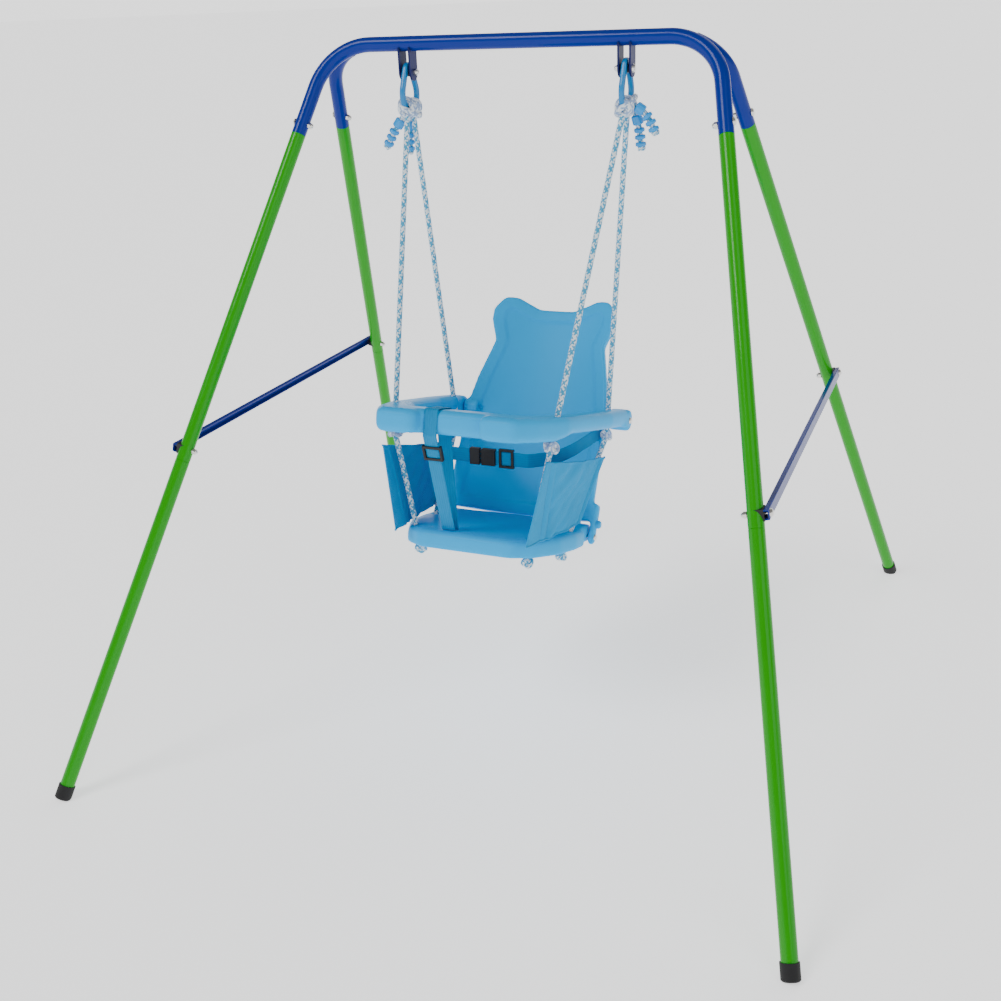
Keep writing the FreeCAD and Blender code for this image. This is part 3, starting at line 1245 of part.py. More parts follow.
def make_lap_belt(name, side, backrest):
    """Half of the lap belt, on edge, from the backrest round to the buckle."""
    thick = dim.web_thick
    end = dim.belt_end_x - dim.buckle_left * side
    line = [(dim.belt_side_x, dim.belt_side_y), (dim.belt_turn_x, -dim.belt_turn_y),
            (dim.belt_front_x, -dim.belt_front_y), (end, -dim.belt_front_y)]
    inside = [(end, -dim.belt_front_y + thick),
              (dim.belt_front_x - 0.7, -dim.belt_front_y + thick),
              (dim.belt_turn_x - thick, -dim.belt_turn_y + 0.8),
              (dim.belt_side_x - thick, dim.belt_side_y)]
    points = [(x if side > 0 else -x, y) for x, y in line + inside]
    place = BELT.multiply(Placement(Vector(0, 0, -float(dim.web_width) / 2), Rotation()))
    webbing = padded(f"lap_belt_{name}_web", "XY_Plane", points, dim.web_width, place)
    return node(f"lap_belt_{name}", cut(f"lap_belt_{name}", webbing, backrest))


def make_lap_fittings():
    """The slider on the right half of the lap belt, and the two halves of the buckle."""
    middle = float(dim.belt_front_y) - float(dim.web_thick) / 2
    turn = Rotation(Vector(0, 0, 1), Vector(0, -1, 0))
    along_x = Rotation(UP, 90)
    place = BELT.multiply(Placement(Vector(float(dim.adjuster_x), -middle, 0),
                                    turn.multiply(along_x)))
    tri_glide("lap_adjuster", place)
    depth, height, wall = 11.0, 30.0, 2.5
    right = float(dim.belt_end_x) - float(dim.buckle_left)
    left = -float(dim.belt_end_x) - float(dim.buckle_left)

    def on_belt(x, low):
        return BELT.multiply(Placement(Vector(x, -middle, low), Rotation()))

    socket = box("buckle_socket_case", 26, depth, height, on_belt(right - 13, -height / 2))
    mouth = box("buckle_socket_mouth", 24, depth - 2 * wall, height - 2 * wall,
                on_belt(right - 13 - wall, -height / 2 + wall))
    node("buckle_socket", cut("buckle_socket", socket, mouth))
    base = box("buckle_tongue_base", 19, depth, height, on_belt(left + 9.5, -height / 2))
    prongs = [box(f"buckle_prong_{i}", 21, 3.6, 4.5, on_belt(left + 28.5, shift - 2.25))
              for i, shift in enumerate((-8.5, 0, 8.5))]
    node("buckle_tongue", fuse("buckle_tongue", base, *prongs))


# ---------------------------------------------------------------- assembly
def build():
    make_top_tube()
    for side_name, side in SIDES:
        make_rear_stub(side_name, side)
        make_side_brace(f"side_brace_{side_name}", side)
    bottom = leg_bottom_height()
    joint, seam = float(dim.joint_height), float(dim.seam_height)
    brace = float(dim.brace_height)
    saddles = []
    for side_name, side in SIDES:
        for end_name, end in ENDS:
            tag = f"{end_name}_{side_name}"
            make_leg(f"leg_upper_{tag}", side, end, seam, joint, (JOINT_BOLT_HEIGHT, brace))
            make_leg(f"leg_lower_{tag}", side, end, bottom, seam, (brace,))
            make_foot_cap(f"foot_cap_{tag}", side, end)
            saddles.append(make_saddle(f"brace_saddle_{tag}", side, end))
    node("brace_saddles", group("brace_saddles", saddles))
    make_frame_fasteners()
    hangers = [make_hanger(side_name, side) for side_name, side in SIDES]
    for label, solids in zip(("pivot_bolts", "pivot_nuts", "pivot_bushes"), zip(*hangers)):
        node(label, group(label, solids))
    make_ropes()
    make_tray()
    make_pan()
    backrest = make_backrest()
    make_seat_fasteners()
    for side_name, side in SIDES:
        make_side_panel(side_name, side)
        make_lap_belt(side_name, side, backrest)
    make_crotch_strap()
    make_crotch_adjuster()
    make_lap_fittings()
    doc.recompute()


def check():
    """Stop on any failed object, and on any node that isn't a sound shape."""
    for made in doc.Objects:
        if "Invalid" in made.State or "Error" in made.State:
            raise RuntimeError(f"{made.Name} failed: {made.State}")
    for made in NODES:
        if made.Shape.isNull() or not made.Shape.isValid() or not made.Shape.Solids:
            raise RuntimeError(f"{made.Label} has no sound shape")


def export():
    os.makedirs("parts", exist_ok=True)
    for made in NODES:
        made.Shape.exportStep(os.path.join("parts", made.Label + ".step"))
        volume = sum(solid.Volume for solid in made.Shape.Solids)
        print(f"{made.Label}: {len(made.Shape.Solids)} solid(s), {volume / 1000:.2f} cm3")


build()
check()
export()
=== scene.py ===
"""Toddler swing set: camera, ropes, soft pieces, materials and studio round the CAD frame.

Metres, in the frame of the CAD: +X along the crossbar, +Y to the back, +Z up, with the
origin on the floor under the middle of the crossbar.
"""
import json
import math

import bmesh
import bpy
import numpy as np
from mathutils import Matrix, Vector, noise


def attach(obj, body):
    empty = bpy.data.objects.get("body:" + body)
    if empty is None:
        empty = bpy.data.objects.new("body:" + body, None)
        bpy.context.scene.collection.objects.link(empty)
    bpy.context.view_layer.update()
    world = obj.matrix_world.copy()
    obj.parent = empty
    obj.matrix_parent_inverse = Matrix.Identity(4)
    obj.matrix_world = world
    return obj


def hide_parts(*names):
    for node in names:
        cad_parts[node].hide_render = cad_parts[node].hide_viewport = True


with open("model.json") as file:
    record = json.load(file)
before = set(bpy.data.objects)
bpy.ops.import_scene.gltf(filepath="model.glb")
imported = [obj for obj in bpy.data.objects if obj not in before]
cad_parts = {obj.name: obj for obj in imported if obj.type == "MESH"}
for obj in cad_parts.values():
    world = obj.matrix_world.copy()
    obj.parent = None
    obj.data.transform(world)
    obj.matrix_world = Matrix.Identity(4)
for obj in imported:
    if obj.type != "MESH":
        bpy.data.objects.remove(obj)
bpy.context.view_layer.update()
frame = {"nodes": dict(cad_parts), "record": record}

SIDES = (("left", -1), ("right", 1))
ENDS = ("front", "rear")

# ---------------------------------------------------------------- camera
CAMERA_PLACE = (0.7985, -2.0156, 1.2880)
CAMERA_TURN_LEFT = 23.03
CAMERA_LOOK_DOWN = 22.72
CAMERA_ROLL = -2.50
CAMERA_LENS = 43.53

camera_data = bpy.data.cameras.new("camera")
camera_data.sensor_width = 36
camera_data.lens = CAMERA_LENS
camera_data.clip_start = 0.05
camera = bpy.data.objects.new("camera", camera_data)
camera.matrix_world = (Matrix.Translation(CAMERA_PLACE)
                       @ Matrix.Rotation(math.radians(CAMERA_TURN_LEFT), 4, "Z")
                       @ Matrix.Rotation(math.radians(90 - CAMERA_LOOK_DOWN), 4, "X")
                       @ Matrix.Rotation(math.radians(CAMERA_ROLL), 4, "Z"))
bpy.context.collection.objects.link(camera)
bpy.context.scene.camera = camera

# ---------------------------------------------------------------- sizes from the CAD
HANGER_X = 0.198
PIVOT_Z = 1.167
KNOT = Vector((HANGER_X, -0.002, 1.110))
ROPE_RADIUS = 0.005
ROPE_SPREAD = 0.009
# SEAT is the tray's frame: the tray's top is its plane z = 0. BELT is the lap belt's frame.
SEAT = (Matrix.Translation((0, -0.1025, 0.605))
        @ Matrix.Rotation(math.radians(-15.3), 4, "X"))
BELT = SEAT @ Matrix.Translation((0, 0, -0.079)) @ Matrix.Rotation(math.radians(12), 4, "X")
TRAY_HOLES = {"front": Vector((0.149, -0.134, 0)), "rear": Vector((0.157, 0.128, 0))}
PAN_HOLES = {"front": Vector((0.110, -0.110, -0.215)), "rear": Vector((0.134, 0.025, -0.215))}
# The ropes bend a little below the tray, and end in a knot below the pan's holes.
BEND_DROP = 0.052
PAN_KNOT_DEPTH = 0.0425


def flipped(point, side):
    """A point of the right half, or its mirror image on the left."""
    return Vector((point[0] * side, point[1], point[2]))


def rope_points(side, tag):
    """Start, bend and end of a rope's axis: in the top knot, under the tray, under the pan."""
    spread = ROPE_SPREAD * (1 if tag == "rear" else -1)
    start = flipped(KNOT, side) + Vector((0, spread, 0))
    hole = SEAT @ flipped(TRAY_HOLES[tag], side)
    bend = hole + (hole - start).normalized() * BEND_DROP
    foot = SEAT @ flipped(PAN_HOLES[tag], side)
    way = (foot - bend).normalized()
    drop = -(SEAT.to_3x3().inverted() @ way).z
    return start, bend, foot + way * (PAN_KNOT_DEPTH / drop)


# ---------------------------------------------------------------- materials
# Sockets of the colour mix node: its two colours, and the colour it gives.
MIX_ONE = 6
MIX_TWO = 7
MIX_RESULT = 2


def new_material(name):
    """A material with its shader and a helper to add and link nodes."""
    made = bpy.data.materials.new(name)
    made.use_nodes = True
    tree = made.node_tree
    shader = tree.nodes["Principled BSDF"]

    def add(kind, inputs=None, **settings):
        """A node with its settings; each input is a value or another node's output."""
        item = tree.nodes.new(kind)
        for key, value in settings.items():
            setattr(item, key, value)
        for key, value in (inputs or {}).items():
            if isinstance(value, bpy.types.NodeSocket):
                tree.links.new(value, item.inputs[key])
            else:
                item.inputs[key].default_value = value
        return item

    return made, tree, shader, add


def rgba(color, scale=1.0):
    """A colour made lighter or darker, with full alpha."""
    return (*[min(1.0, part * scale) for part in color], 1.0)


def speckled(add, tree, shader, color, coords, scale, spread, rough, rough_spread):
    """Base colour and roughness that drift a little over the surface; gives the colour."""
    cloud = add("ShaderNodeTexNoise", {"Vector": coords, "Scale": scale, "Detail": 4.0})
    tone = add("ShaderNodeMix", {"Factor": cloud.outputs["Fac"]}, data_type="RGBA")
    tone.inputs[MIX_ONE].default_value = rgba(color, 1 - spread)
    tone.inputs[MIX_TWO].default_value = rgba(color, 1 + spread)
    tree.links.new(tone.outputs[MIX_RESULT], shader.inputs["Base Color"])
    wear = add("ShaderNodeMapRange", {"Value": cloud.outputs["Fac"], "From Min": 0.3,
                                      "From Max": 0.7, "To Min": rough - rough_spread,
                                      "To Max": rough + rough_spread})
    tree.links.new(wear.outputs["Result"], shader.inputs["Roughness"])
    return tone.outputs[MIX_RESULT]


def with_painted_shade(add, tree, shader, color, painted_shade):
    """Base colour from a colour multiplied by a painted shade, darker where shade would fall."""
    tint = add("ShaderNodeMix", {"Factor": 1.0}, data_type="RGBA", blend_type="MULTIPLY")
    tree.links.new(color, tint.inputs[MIX_ONE])
    tree.links.new(painted_shade, tint.inputs[MIX_TWO])
    tree.links.new(tint.outputs[MIX_RESULT], shader.inputs["Base Color"])


def bump(add, tree, shader, height, strength, distance, below=None):
    """Relief on the surface, on top of the relief below it if there is one."""
    inputs = {"Height": height, "Strength": strength, "Distance": distance}
    if below:
        inputs["Normal"] = below
    node = add("ShaderNodeBump", inputs)
    tree.links.new(node.outputs["Normal"], shader.inputs["Normal"])
    return node.outputs["Normal"]


def object_coords(add):
    """Places measured in the piece's own frame."""
    return add("ShaderNodeTexCoord").outputs["Object"]


def paint(name, color, rough=0.22, coat=0.6, spread=0.05):
    """Powder coat: a faint orange peel, slight drift in tone, fine scuffs."""
    made, tree, shader, add = new_material(name)
    coords = object_coords(add)
    speckled(add, tree, shader, color, coords, 9.0, spread, rough, 0.05)
    peel = add("ShaderNodeTexNoise", {"Vector": coords, "Scale": 420.0, "Detail": 2.0})
    fine = bump(add, tree, shader, peel.outputs["Fac"], 0.10, 0.0004)
    scuff = add("ShaderNodeTexNoise", {"Vector": coords, "Scale": 60.0, "Detail": 6.0})
    bump(add, tree, shader, scuff.outputs["Fac"], 0.05, 0.0004, fine)
    shader.inputs["Specular IOR Level"].default_value = 0.15
    shader.inputs["Coat Weight"].default_value = coat
    shader.inputs["Coat Roughness"].default_value = 0.06
    return made


def plastic(name, color, rough=0.32, grain=900.0, grain_depth=0.00008, spread=0.04, coat=0.0,
            shine=0.30):
    """Moulded plastic: fine grain, soft ripple from the mould, slight drift in tone."""
    made, tree, shader, add = new_material(name)
    coords = object_coords(add)
    speckled(add, tree, shader, color, coords, 7.0, spread, rough, 0.05)
    ripple = add("ShaderNodeTexNoise", {"Vector": coords, "Scale": 22.0, "Detail": 1.0})
    soft = bump(add, tree, shader, ripple.outputs["Fac"], 0.12, 0.002)
    fine = add("ShaderNodeTexNoise", {"Vector": coords, "Scale": grain, "Detail": 2.0})
    bump(add, tree, shader, fine.outputs["Fac"], 0.25, grain_depth, soft)
    shader.inputs["Specular IOR Level"].default_value = shine
    shader.inputs["Coat Weight"].default_value = coat
    shader.inputs["Coat Roughness"].default_value = 0.15
    return made


def metal(name, color, rough):
    """Bright plated steel with fine scratches and a little tarnish."""
    made, tree, shader, add = new_material(name)
    coords = object_coords(add)
    speckled(add, tree, shader, color, coords, 80.0, 0.12, rough, 0.08)
    stretch = add("ShaderNodeMapping", {"Vector": coords, "Scale": (900, 900, 60)})
    lines = add("ShaderNodeTexNoise", {"Vector": stretch.outputs["Vector"], "Scale": 1.0})
    bump(add, tree, shader, lines.outputs["Fac"], 0.15, 0.0001)
    shader.inputs["Metallic"].default_value = 1.0
    return made


def sine_of(add, source, wavelength):
    """A 0 to 1 wave of a length coordinate."""
    turns = add("ShaderNodeMath", {0: source, 1: 2 * math.pi / wavelength}, operation="MULTIPLY")
    wave = add("ShaderNodeMath", {0: turns.outputs[0]}, operation="SINE")
    half = add("ShaderNodeMath", {0: wave.outputs[0], 1: 0.5, 2: 0.5}, operation="MULTIPLY_ADD")
    return half.outputs[0]


def woven(name, color, along_wave, across_wave, depth, rough=0.75, spread=0.10, sheen=0.35):
    """Cloth or webbing whose ribs follow the piece's own length and width, with painted shade in
    the valleys between the ribs.
    """
    made, tree, shader, add = new_material(name)
    coords = object_coords(add)
    tone = speckled(add, tree, shader, color, coords, 30.0, spread, rough, 0.05)
    place = add("ShaderNodeAttribute", attribute_name="cloth")
    split = add("ShaderNodeSeparateXYZ", {"Vector": place.outputs["Vector"]})
    along = sine_of(add, split.outputs["X"], along_wave)
    across = sine_of(add, split.outputs["Y"], across_wave)
    product = add("ShaderNodeMath", {0: along, 1: across}, operation="MULTIPLY")
    ribs = add("ShaderNodeMath", {0: product.outputs[0], 1: along}, operation="ADD")
    # Painted shade: the colour darkens to 0.72 of its tone in the valleys between the ribs.
    painted_shade = add("ShaderNodeMapRange", {"Value": ribs.outputs[0], "From Min": 0.0,
                                       "From Max": 2.0, "To Min": 0.72, "To Max": 1.0})
    with_painted_shade(add, tree, shader, tone, painted_shade.outputs["Result"])
    threads = bump(add, tree, shader, ribs.outputs[0], 0.7, depth)
    fuzz = add("ShaderNodeTexNoise", {"Vector": coords, "Scale": 1500.0, "Detail": 3.0})
    bump(add, tree, shader, fuzz.outputs["Fac"], 0.3, 0.0002, threads)
    shader.inputs["Specular IOR Level"].default_value = 0.05
    shader.inputs["Sheen Weight"].default_value = sheen
    shader.inputs["Sheen Roughness"].default_value = 0.4
    return made


YARN_WHITE = (0.80, 0.86, 0.90)


def rope_material(name, teal):
    """White yarns with coloured ones braided through, small darker flecks, and painted shade
    between the yarns with a faint painted highlight on their tops.
    """
    made, tree, shader, add = new_material(name)
    coords = object_coords(add)
    yarn = add("ShaderNodeAttribute", attribute_name="yarn")
    split = add("ShaderNodeSeparateXYZ", {"Vector": yarn.outputs["Vector"]})
    fleck = add("ShaderNodeTexNoise", {"Vector": coords, "Scale": 420.0, "Detail": 2.0})
    edge = add("ShaderNodeMath", {0: fleck.outputs["Fac"], 1: 0.8, 2: -0.40},
               operation="MULTIPLY_ADD")
    mixed = add("ShaderNodeMath", {0: split.outputs["X"], 1: 0.68, 2: edge.outputs[0]},
                operation="MULTIPLY_ADD")
    colors = add("ShaderNodeValToRGB", {"Fac": mixed.outputs[0]})
    ramp = colors.color_ramp
    ramp.elements[0].position = 0.30
    ramp.elements[0].color = rgba(YARN_WHITE)
    ramp.elements[1].position = 0.46
    ramp.elements[1].color = rgba(teal)
    dark = ramp.elements.new(0.82)
    dark.color = rgba(teal, 0.65)
    # Painted shade and highlight: the colour darkens to 0.70 down between the yarns and lightens a
    # little on their tops.
    painted_shade = add("ShaderNodeMapRange", {"Value": split.outputs["Y"], "From Min": 0.0,
                                       "From Max": 1.0, "To Min": 0.70, "To Max": 1.05})
    with_painted_shade(add, tree, shader, colors.outputs["Color"], painted_shade.outputs["Result"])
    fibres = add("ShaderNodeTexNoise", {"Vector": coords, "Scale": 1600.0, "Detail": 3.0})
    bump(add, tree, shader, fibres.outputs["Fac"], 0.5, 0.0003)
    shader.inputs["Roughness"].default_value = 0.62
    shader.inputs["Sheen Weight"].default_value = 0.3
    return made


SEAT_BLUE = (0.000, 0.395, 0.820)
# One material for each material slot of the record.
MATERIALS = {
    "blue_tube": paint("blue_powder_coat", (0.000, 0.018, 0.230), rough=0.22, coat=0.12),
    "navy_bracket": paint("navy_powder_coat", (0.002, 0.006, 0.085), rough=0.42, coat=0.0),
    "green_tube": paint("green_powder_coat", (0.010, 0.290, 0.004), rough=0.22, coat=0.15),
    "black_rubber": plastic("foot_rubber", (0.010, 0.010, 0.011), rough=0.62, grain=500.0,
                            grain_depth=0.0002, spread=0.3),
    "black_plastic": plastic("black_plastic", (0.010, 0.010, 0.012), rough=0.40, spread=0.2),
    "bright_steel": metal("plated_steel", (0.70, 0.69, 0.66), 0.24),
    "seat_plastic": plastic("seat_plastic", SEAT_BLUE, rough=0.32, shine=0.05, spread=0.05),
    "ring_plastic": plastic("ring_plastic", (0.002, 0.190, 0.480), rough=0.30, coat=0.2),
    "bead_plastic": plastic("bead_plastic", (0.000, 0.280, 0.700), rough=0.22, coat=0.5),
    "rope": rope_material("braided_rope", (0.025, 0.42, 0.74)),
    "webbing": woven("ribbed_webbing", (0.002, 0.300, 0.640), 0.0016, 0.0040, 0.0005,
                     sheen=0.1),
    "panel_fabric": woven("plain_weave", SEAT_BLUE, 0.0010, 0.0010, 0.00025, rough=0.7, spread=0.06,
                          sheen=0.05),
}
# The photo's knots look a little more violet than its ropes.
KNOT_ROPE = rope_material("knotted_rope", (0.36, 0.52, 0.82))
THREAD = plastic("sewing_thread", (0.004, 0.16, 0.42), rough=0.6, grain=3000.0)


def finish_nodes():
    """Every CAD node that stays gets the material of its slot."""
    for part in frame["record"]["subparts"]:
        item = frame["nodes"][part["node"]]
        item.data.materials.clear()
        item.data.materials.append(MATERIALS[part["material_slot"]])


finish_nodes()


# ---------------------------------------------------------------- mesh helpers
def add_piece(name, mesh, material, replaced=()):
    """Put a mesh in the scene as a smooth piece that rides on the swing."""
    mesh.polygons.foreach_set("use_smooth", [True] * len(mesh.polygons))
    piece = bpy.data.objects.new(name, mesh)
    bpy.context.collection.objects.link(piece)
    mesh.materials.clear()
    mesh.materials.append(material)
    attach(piece, "swing")
    if replaced:
        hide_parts(*replaced)
    return piece


def write_vectors(mesh, name, values):
    """Store a vector at each point of a mesh, for its material to read."""
    layer = mesh.attributes.new(name, "FLOAT_VECTOR", "POINT")
    layer.data.foreach_set("vector", np.array(values, dtype=np.float32).reshape(-1))


def resampled(points, step):
    """Points at even distances along a line of points."""
    line = np.array([tuple(p) for p in points])
    lengths = np.concatenate([[0], np.cumsum(np.linalg.norm(np.diff(line, axis=0), axis=1))])
    count = max(2, int(round(lengths[-1] / step)) + 1)
    places = np.linspace(0, lengths[-1], count)
    return np.stack([np.interp(places, lengths, line[:, k]) for k in range(3)], 1), places


def rounded_line(points, passes=3):
    """A line with its corners cut, its ends kept."""
    line = [Vector(p) for p in points]
    for _ in range(passes):
        cut = [line[0]]
        for one, two in zip(line, line[1:]):
            cut += [one.lerp(two, 0.25), one.lerp(two, 0.75)]
        line = cut + [line[-1]]
    return line


def carried_frames(line):
    """Two directions square to a line at each of its points, carried without twist."""
    tangents = np.gradient(line, axis=0)
    tangents /= np.linalg.norm(tangents, axis=1)[:, None]
    seed = np.array([0.0, 1.0, 0.0]) if abs(tangents[0][1]) < 0.8 else np.array([1.0, 0, 0])
    first = []
    for tangent in tangents:
        seed = seed - tangent * seed.dot(tangent)
        seed = seed / np.linalg.norm(seed)
        first.append(seed)
    first = np.array(first)
    return first, np.cross(tangents, first)


def tube_grid(line, theta, spread):
    """Rows of points round a line; spread is their distance by place and angle."""
    first, second = carried_frames(line)
    return (line[:, None, :] + first[:, None, :] * (np.cos(theta)[None, :] * spread)[..., None]
            + second[:, None, :] * (np.sin(theta)[None, :] * spread)[..., None])


def grid_mesh(name, grid, closed_around, caps=True):
    """A quad mesh from rows of points; each row may close on itself."""
    rows, columns, _ = grid.shape
    vertices = [tuple(p) for p in grid.reshape(-1, 3)]
    faces = []
    for i in range(rows - 1):
        for j in range(columns if closed_around else columns - 1):
            k = (j + 1) % columns
            faces.append((i * columns + j, i * columns + k,
                          (i + 1) * columns + k, (i + 1) * columns + j))
    if caps and closed_around:
        faces.append(tuple(reversed(range(columns))))
        faces.append(tuple((rows - 1) * columns + j for j in range(columns)))
    mesh = bpy.data.meshes.new(name)
    mesh.from_pydata(vertices, [], faces)
    mesh.update()
    return mesh


# A rope has eight strands that climb one way round it, and eight that climb the other way.
# These of the first eight and these of the second eight are teal.
BRAID_STRANDS = 8
BRAID_PITCH = 0.034
BRAID_DEPTH = 0.11
BRAID_STEP = 0.0011
TEAL_ONE = (0, 1, 2, 4, 5)
TEAL_TWO = (1, 2, 3, 6)


def braid_mesh(name, points, radius, around=40, closed=False):
    """A braided rope along a line: a tube whose surface is a weave of rounded yarns."""
    line, places = resampled(points, BRAID_STEP)
    theta = np.linspace(0, 2 * math.pi, around, endpoint=False)
    turn = theta / (2 * math.pi) * BRAID_STRANDS
    climb = places[:, None] / BRAID_PITCH * BRAID_STRANDS
    one = turn[None, :] + climb
    two = turn[None, :] - climb
    cell_one = np.floor(one).astype(int)
    cell_two = np.floor(two).astype(int)
    height = np.sqrt(np.abs(np.sin(math.pi * one) * np.sin(math.pi * two)))
    over = (cell_one + cell_two) % 2 == 0
    teal = np.where(over, np.isin(cell_one % BRAID_STRANDS, TEAL_ONE),
                    np.isin(cell_two % BRAID_STRANDS, TEAL_TWO)).astype(float)
    spread = radius * (1 - BRAID_DEPTH + BRAID_DEPTH * height)
    mesh = grid_mesh(name, tube_grid(line, theta, spread), True, caps=not closed)
    # The yarn's height goes to the material too, where it paints shade between the yarns and a
    # faint highlight on their tops.
    write_vectors(mesh, "yarn", np.stack([teal, height, np.zeros(teal.shape)], 2))
    return mesh


# ---------------------------------------------------------------- free rope ends
# The four routes are the ones of the CAD, repeated in metres.
TAILS = {
    "left_outer": [(-0.202, -0.007, 1.104), (-0.207, -0.011, 1.095), (-0.215, -0.014, 1.083),
                   (-0.225, -0.016, 1.069), (-0.234, -0.017, 1.054), (-0.241, -0.017, 1.041)],
    "left_inner": [(-0.203, 0.0145, 1.105), (-0.2055, 0.018, 1.0925), (-0.208, 0.019, 1.077),
                   (-0.211, 0.0195, 1.061), (-0.213, 0.019, 1.044), (-0.214, 0.0185, 1.027)],
    "right_outer": [(0.206, -0.002, 1.111), (0.216, -0.002, 1.1075), (0.227, -0.001, 1.100),
                    (0.236, 0, 1.089), (0.243, 0, 1.076), (0.248, 0, 1.063)],
    "right_inner": [(0.206, 0.010, 1.104), (0.211, 0.0135, 1.093), (0.214, 0.015, 1.080),
                    (0.216, 0.016, 1.066), (0.218, 0.0162, 1.051), (0.219, 0.016, 1.0365)],
}


def route_points(name, route):
    """Points along the smooth line of a free rope end."""
    curve = bpy.data.curves.new(name + "_route", "CURVE")
    curve.dimensions = "3D"
    spline = curve.splines.new("NURBS")
    spline.points.add(len(route) - 1)
    for point, place in zip(spline.points, route):
        point.co = (*place, 1)
    spline.order_u = 3
    spline.use_endpoint_u = True
    spline.resolution_u = 16
    carrier = bpy.data.objects.new(name + "_route", curve)
    bpy.context.collection.objects.link(carrier)
    bpy.context.view_layer.update()
    mesh = bpy.data.meshes.new_from_object(carrier)
    points = [vertex.co.copy() for vertex in mesh.vertices]
    bpy.data.objects.remove(carrier)
    bpy.data.curves.remove(curve)
    return points


OVERHAND_STEPS = 96


def overhand(centre, direction, across, along, rope_radius, spin):
    """The line of an overhand knot, drawn tight round a direction."""
    turn = direction.to_track_quat("Z", "Y").to_matrix() @ Matrix.Rotation(spin, 3, "Z")
    scale_across = (across - rope_radius) / 3
    scale_along = along - rope_radius
    line = []
    for k in range(OVERHAND_STEPS + 1):
        t = 2 * math.pi * k / OVERHAND_STEPS
        line.append(centre + turn @ Vector((
            (math.sin(t) + 2 * math.sin(2 * t)) * scale_across,
            (math.cos(t) - 2 * math.cos(2 * t)) * scale_across,
            -math.sin(3 * t) * scale_along)))
    return line


# The knot at the end of a free end: its half width, half height and rope radius.
END_WIDE = 0.0078
END_TALL = 0.0052
END_ROPE = 0.0027
END_BACK = 0.003
END_SPIN = 0.6


def make_tail(name, route):
    """A free rope end that hangs from a ring's knot, with the knot that holds its beads."""
    points = route_points(name, route)
    mesh = braid_mesh(f"tail_{name}", points, ROPE_RADIUS, around=32)
    tail = add_piece(f"tail_{name}", mesh, MATERIALS["rope"], [f"rope_tail_{name}"])
    down = (points[-1] - points[-4]).normalized()
    line = overhand(points[-1] - down * END_BACK, down, END_WIDE, END_TALL, END_ROPE, END_SPIN)
    end = braid_mesh(f"tail_end_{name}", line, END_ROPE, around=20, closed=True)
    knob = add_piece(f"tail_end_{name}", end, MATERIALS["rope"])


for tail_name, tail_route in TAILS.items():
    make_tail(tail_name, tail_route)


# ---------------------------------------------------------------- ropes and knots
# A rope starts to bend just before its bend, and is straight again just after it.
BEND_FROM = 0.97
BEND_TO = 0.08


def make_ropes():
    """The four long ropes, taut from the rings' knots to below the seat pan."""
    for side_name, side in SIDES:
        for tag in ENDS:
            start, bend, end = rope_points(side, tag)
            corners = [start, start.lerp(bend, BEND_FROM), bend, bend.lerp(end, BEND_TO), end]
            name = f"rope_line_{tag}_{side_name}"
            mesh = braid_mesh(name, rounded_line(corners, 2), ROPE_RADIUS)
            add_piece(name, mesh, MATERIALS["rope"], [f"rope_{tag}_{side_name}"])


# Half widths and half heights of the knots that hold the tray and the pan.
KNOT_STRAND = 0.0046
TRAY_KNOT_WIDE = {"front": 0.0155, "rear": 0.0125}
TRAY_KNOT_TALL = 0.0108
PAN_KNOT_WIDE = 0.0120
PAN_KNOT_TALL = 0.0095
KNOT_SPIN = 0.7


def make_small_knots():
    """Overhand knots that hold the tray and the pan on the ropes."""
    for side_name, side in SIDES:
        for tag in ENDS:
            start, bend, end = rope_points(side, tag)
            places = (("tray", bend, bend - start, TRAY_KNOT_WIDE[tag], TRAY_KNOT_TALL, KNOT_ROPE),
                      ("pan", end, end - bend, PAN_KNOT_WIDE, PAN_KNOT_TALL, MATERIALS["rope"]))
            for where, centre, way, wide, tall, material in places:
                name = f"{where}_knot_{tag}_{side_name}"
                line = overhand(centre, way.normalized(), wide, tall, KNOT_STRAND,
                                side * KNOT_SPIN)
                mesh = braid_mesh(name, line, KNOT_STRAND, around=28, closed=True)
                add_piece(name, mesh, material)
    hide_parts("rope_knots")


# A ring's knot: the wound part, which is thinner at its two ends, and the turn over it.
WRAPS = 4
WRAP_STEPS = WRAPS * 40
WRAP_STRAND = 0.0054
WRAP_RADIUS = 0.0118
WRAP_HALF = 0.0205
WRAP_TAPER = 0.22
WRAP_TALL = 1.05
WRAP_DROP = 0.002
TURN_STEPS = 120
TURN_STRAND = 0.0050
TURN_OUT = 0.0140
TURN_ALONG = 0.0235
TURN_UP = 0.0130
TURN_LIFT = 0.003


def wrap_line(centre, side):
    """The line of the rope that is wound round a ring's foot."""
    line = []
    for k in range(WRAP_STEPS + 1):
        share = k / WRAP_STEPS
        angle = 2 * math.pi * WRAPS * share * side
        swell = WRAP_RADIUS * (1.0 - WRAP_TAPER * (2 * share - 1) ** 2)
        line.append(centre + Vector((math.sin(angle) * swell,
                                     (2 * share - 1) * WRAP_HALF,
                                     math.cos(angle) * swell * WRAP_TALL)))
    return line


def turn_line(centre, side):
    """The line of the one turn that lies over the wound rope."""
    line = []
    for k in range(TURN_STEPS + 1):
        angle = 2 * math.pi * k / TURN_STEPS
        height = TURN_UP * math.cos(angle) + TURN_LIFT * math.sin(2 * angle)
        line.append(centre + Vector((TURN_OUT * math.cos(angle) * side,
                                     TURN_ALONG * math.sin(angle), height)))
    return line


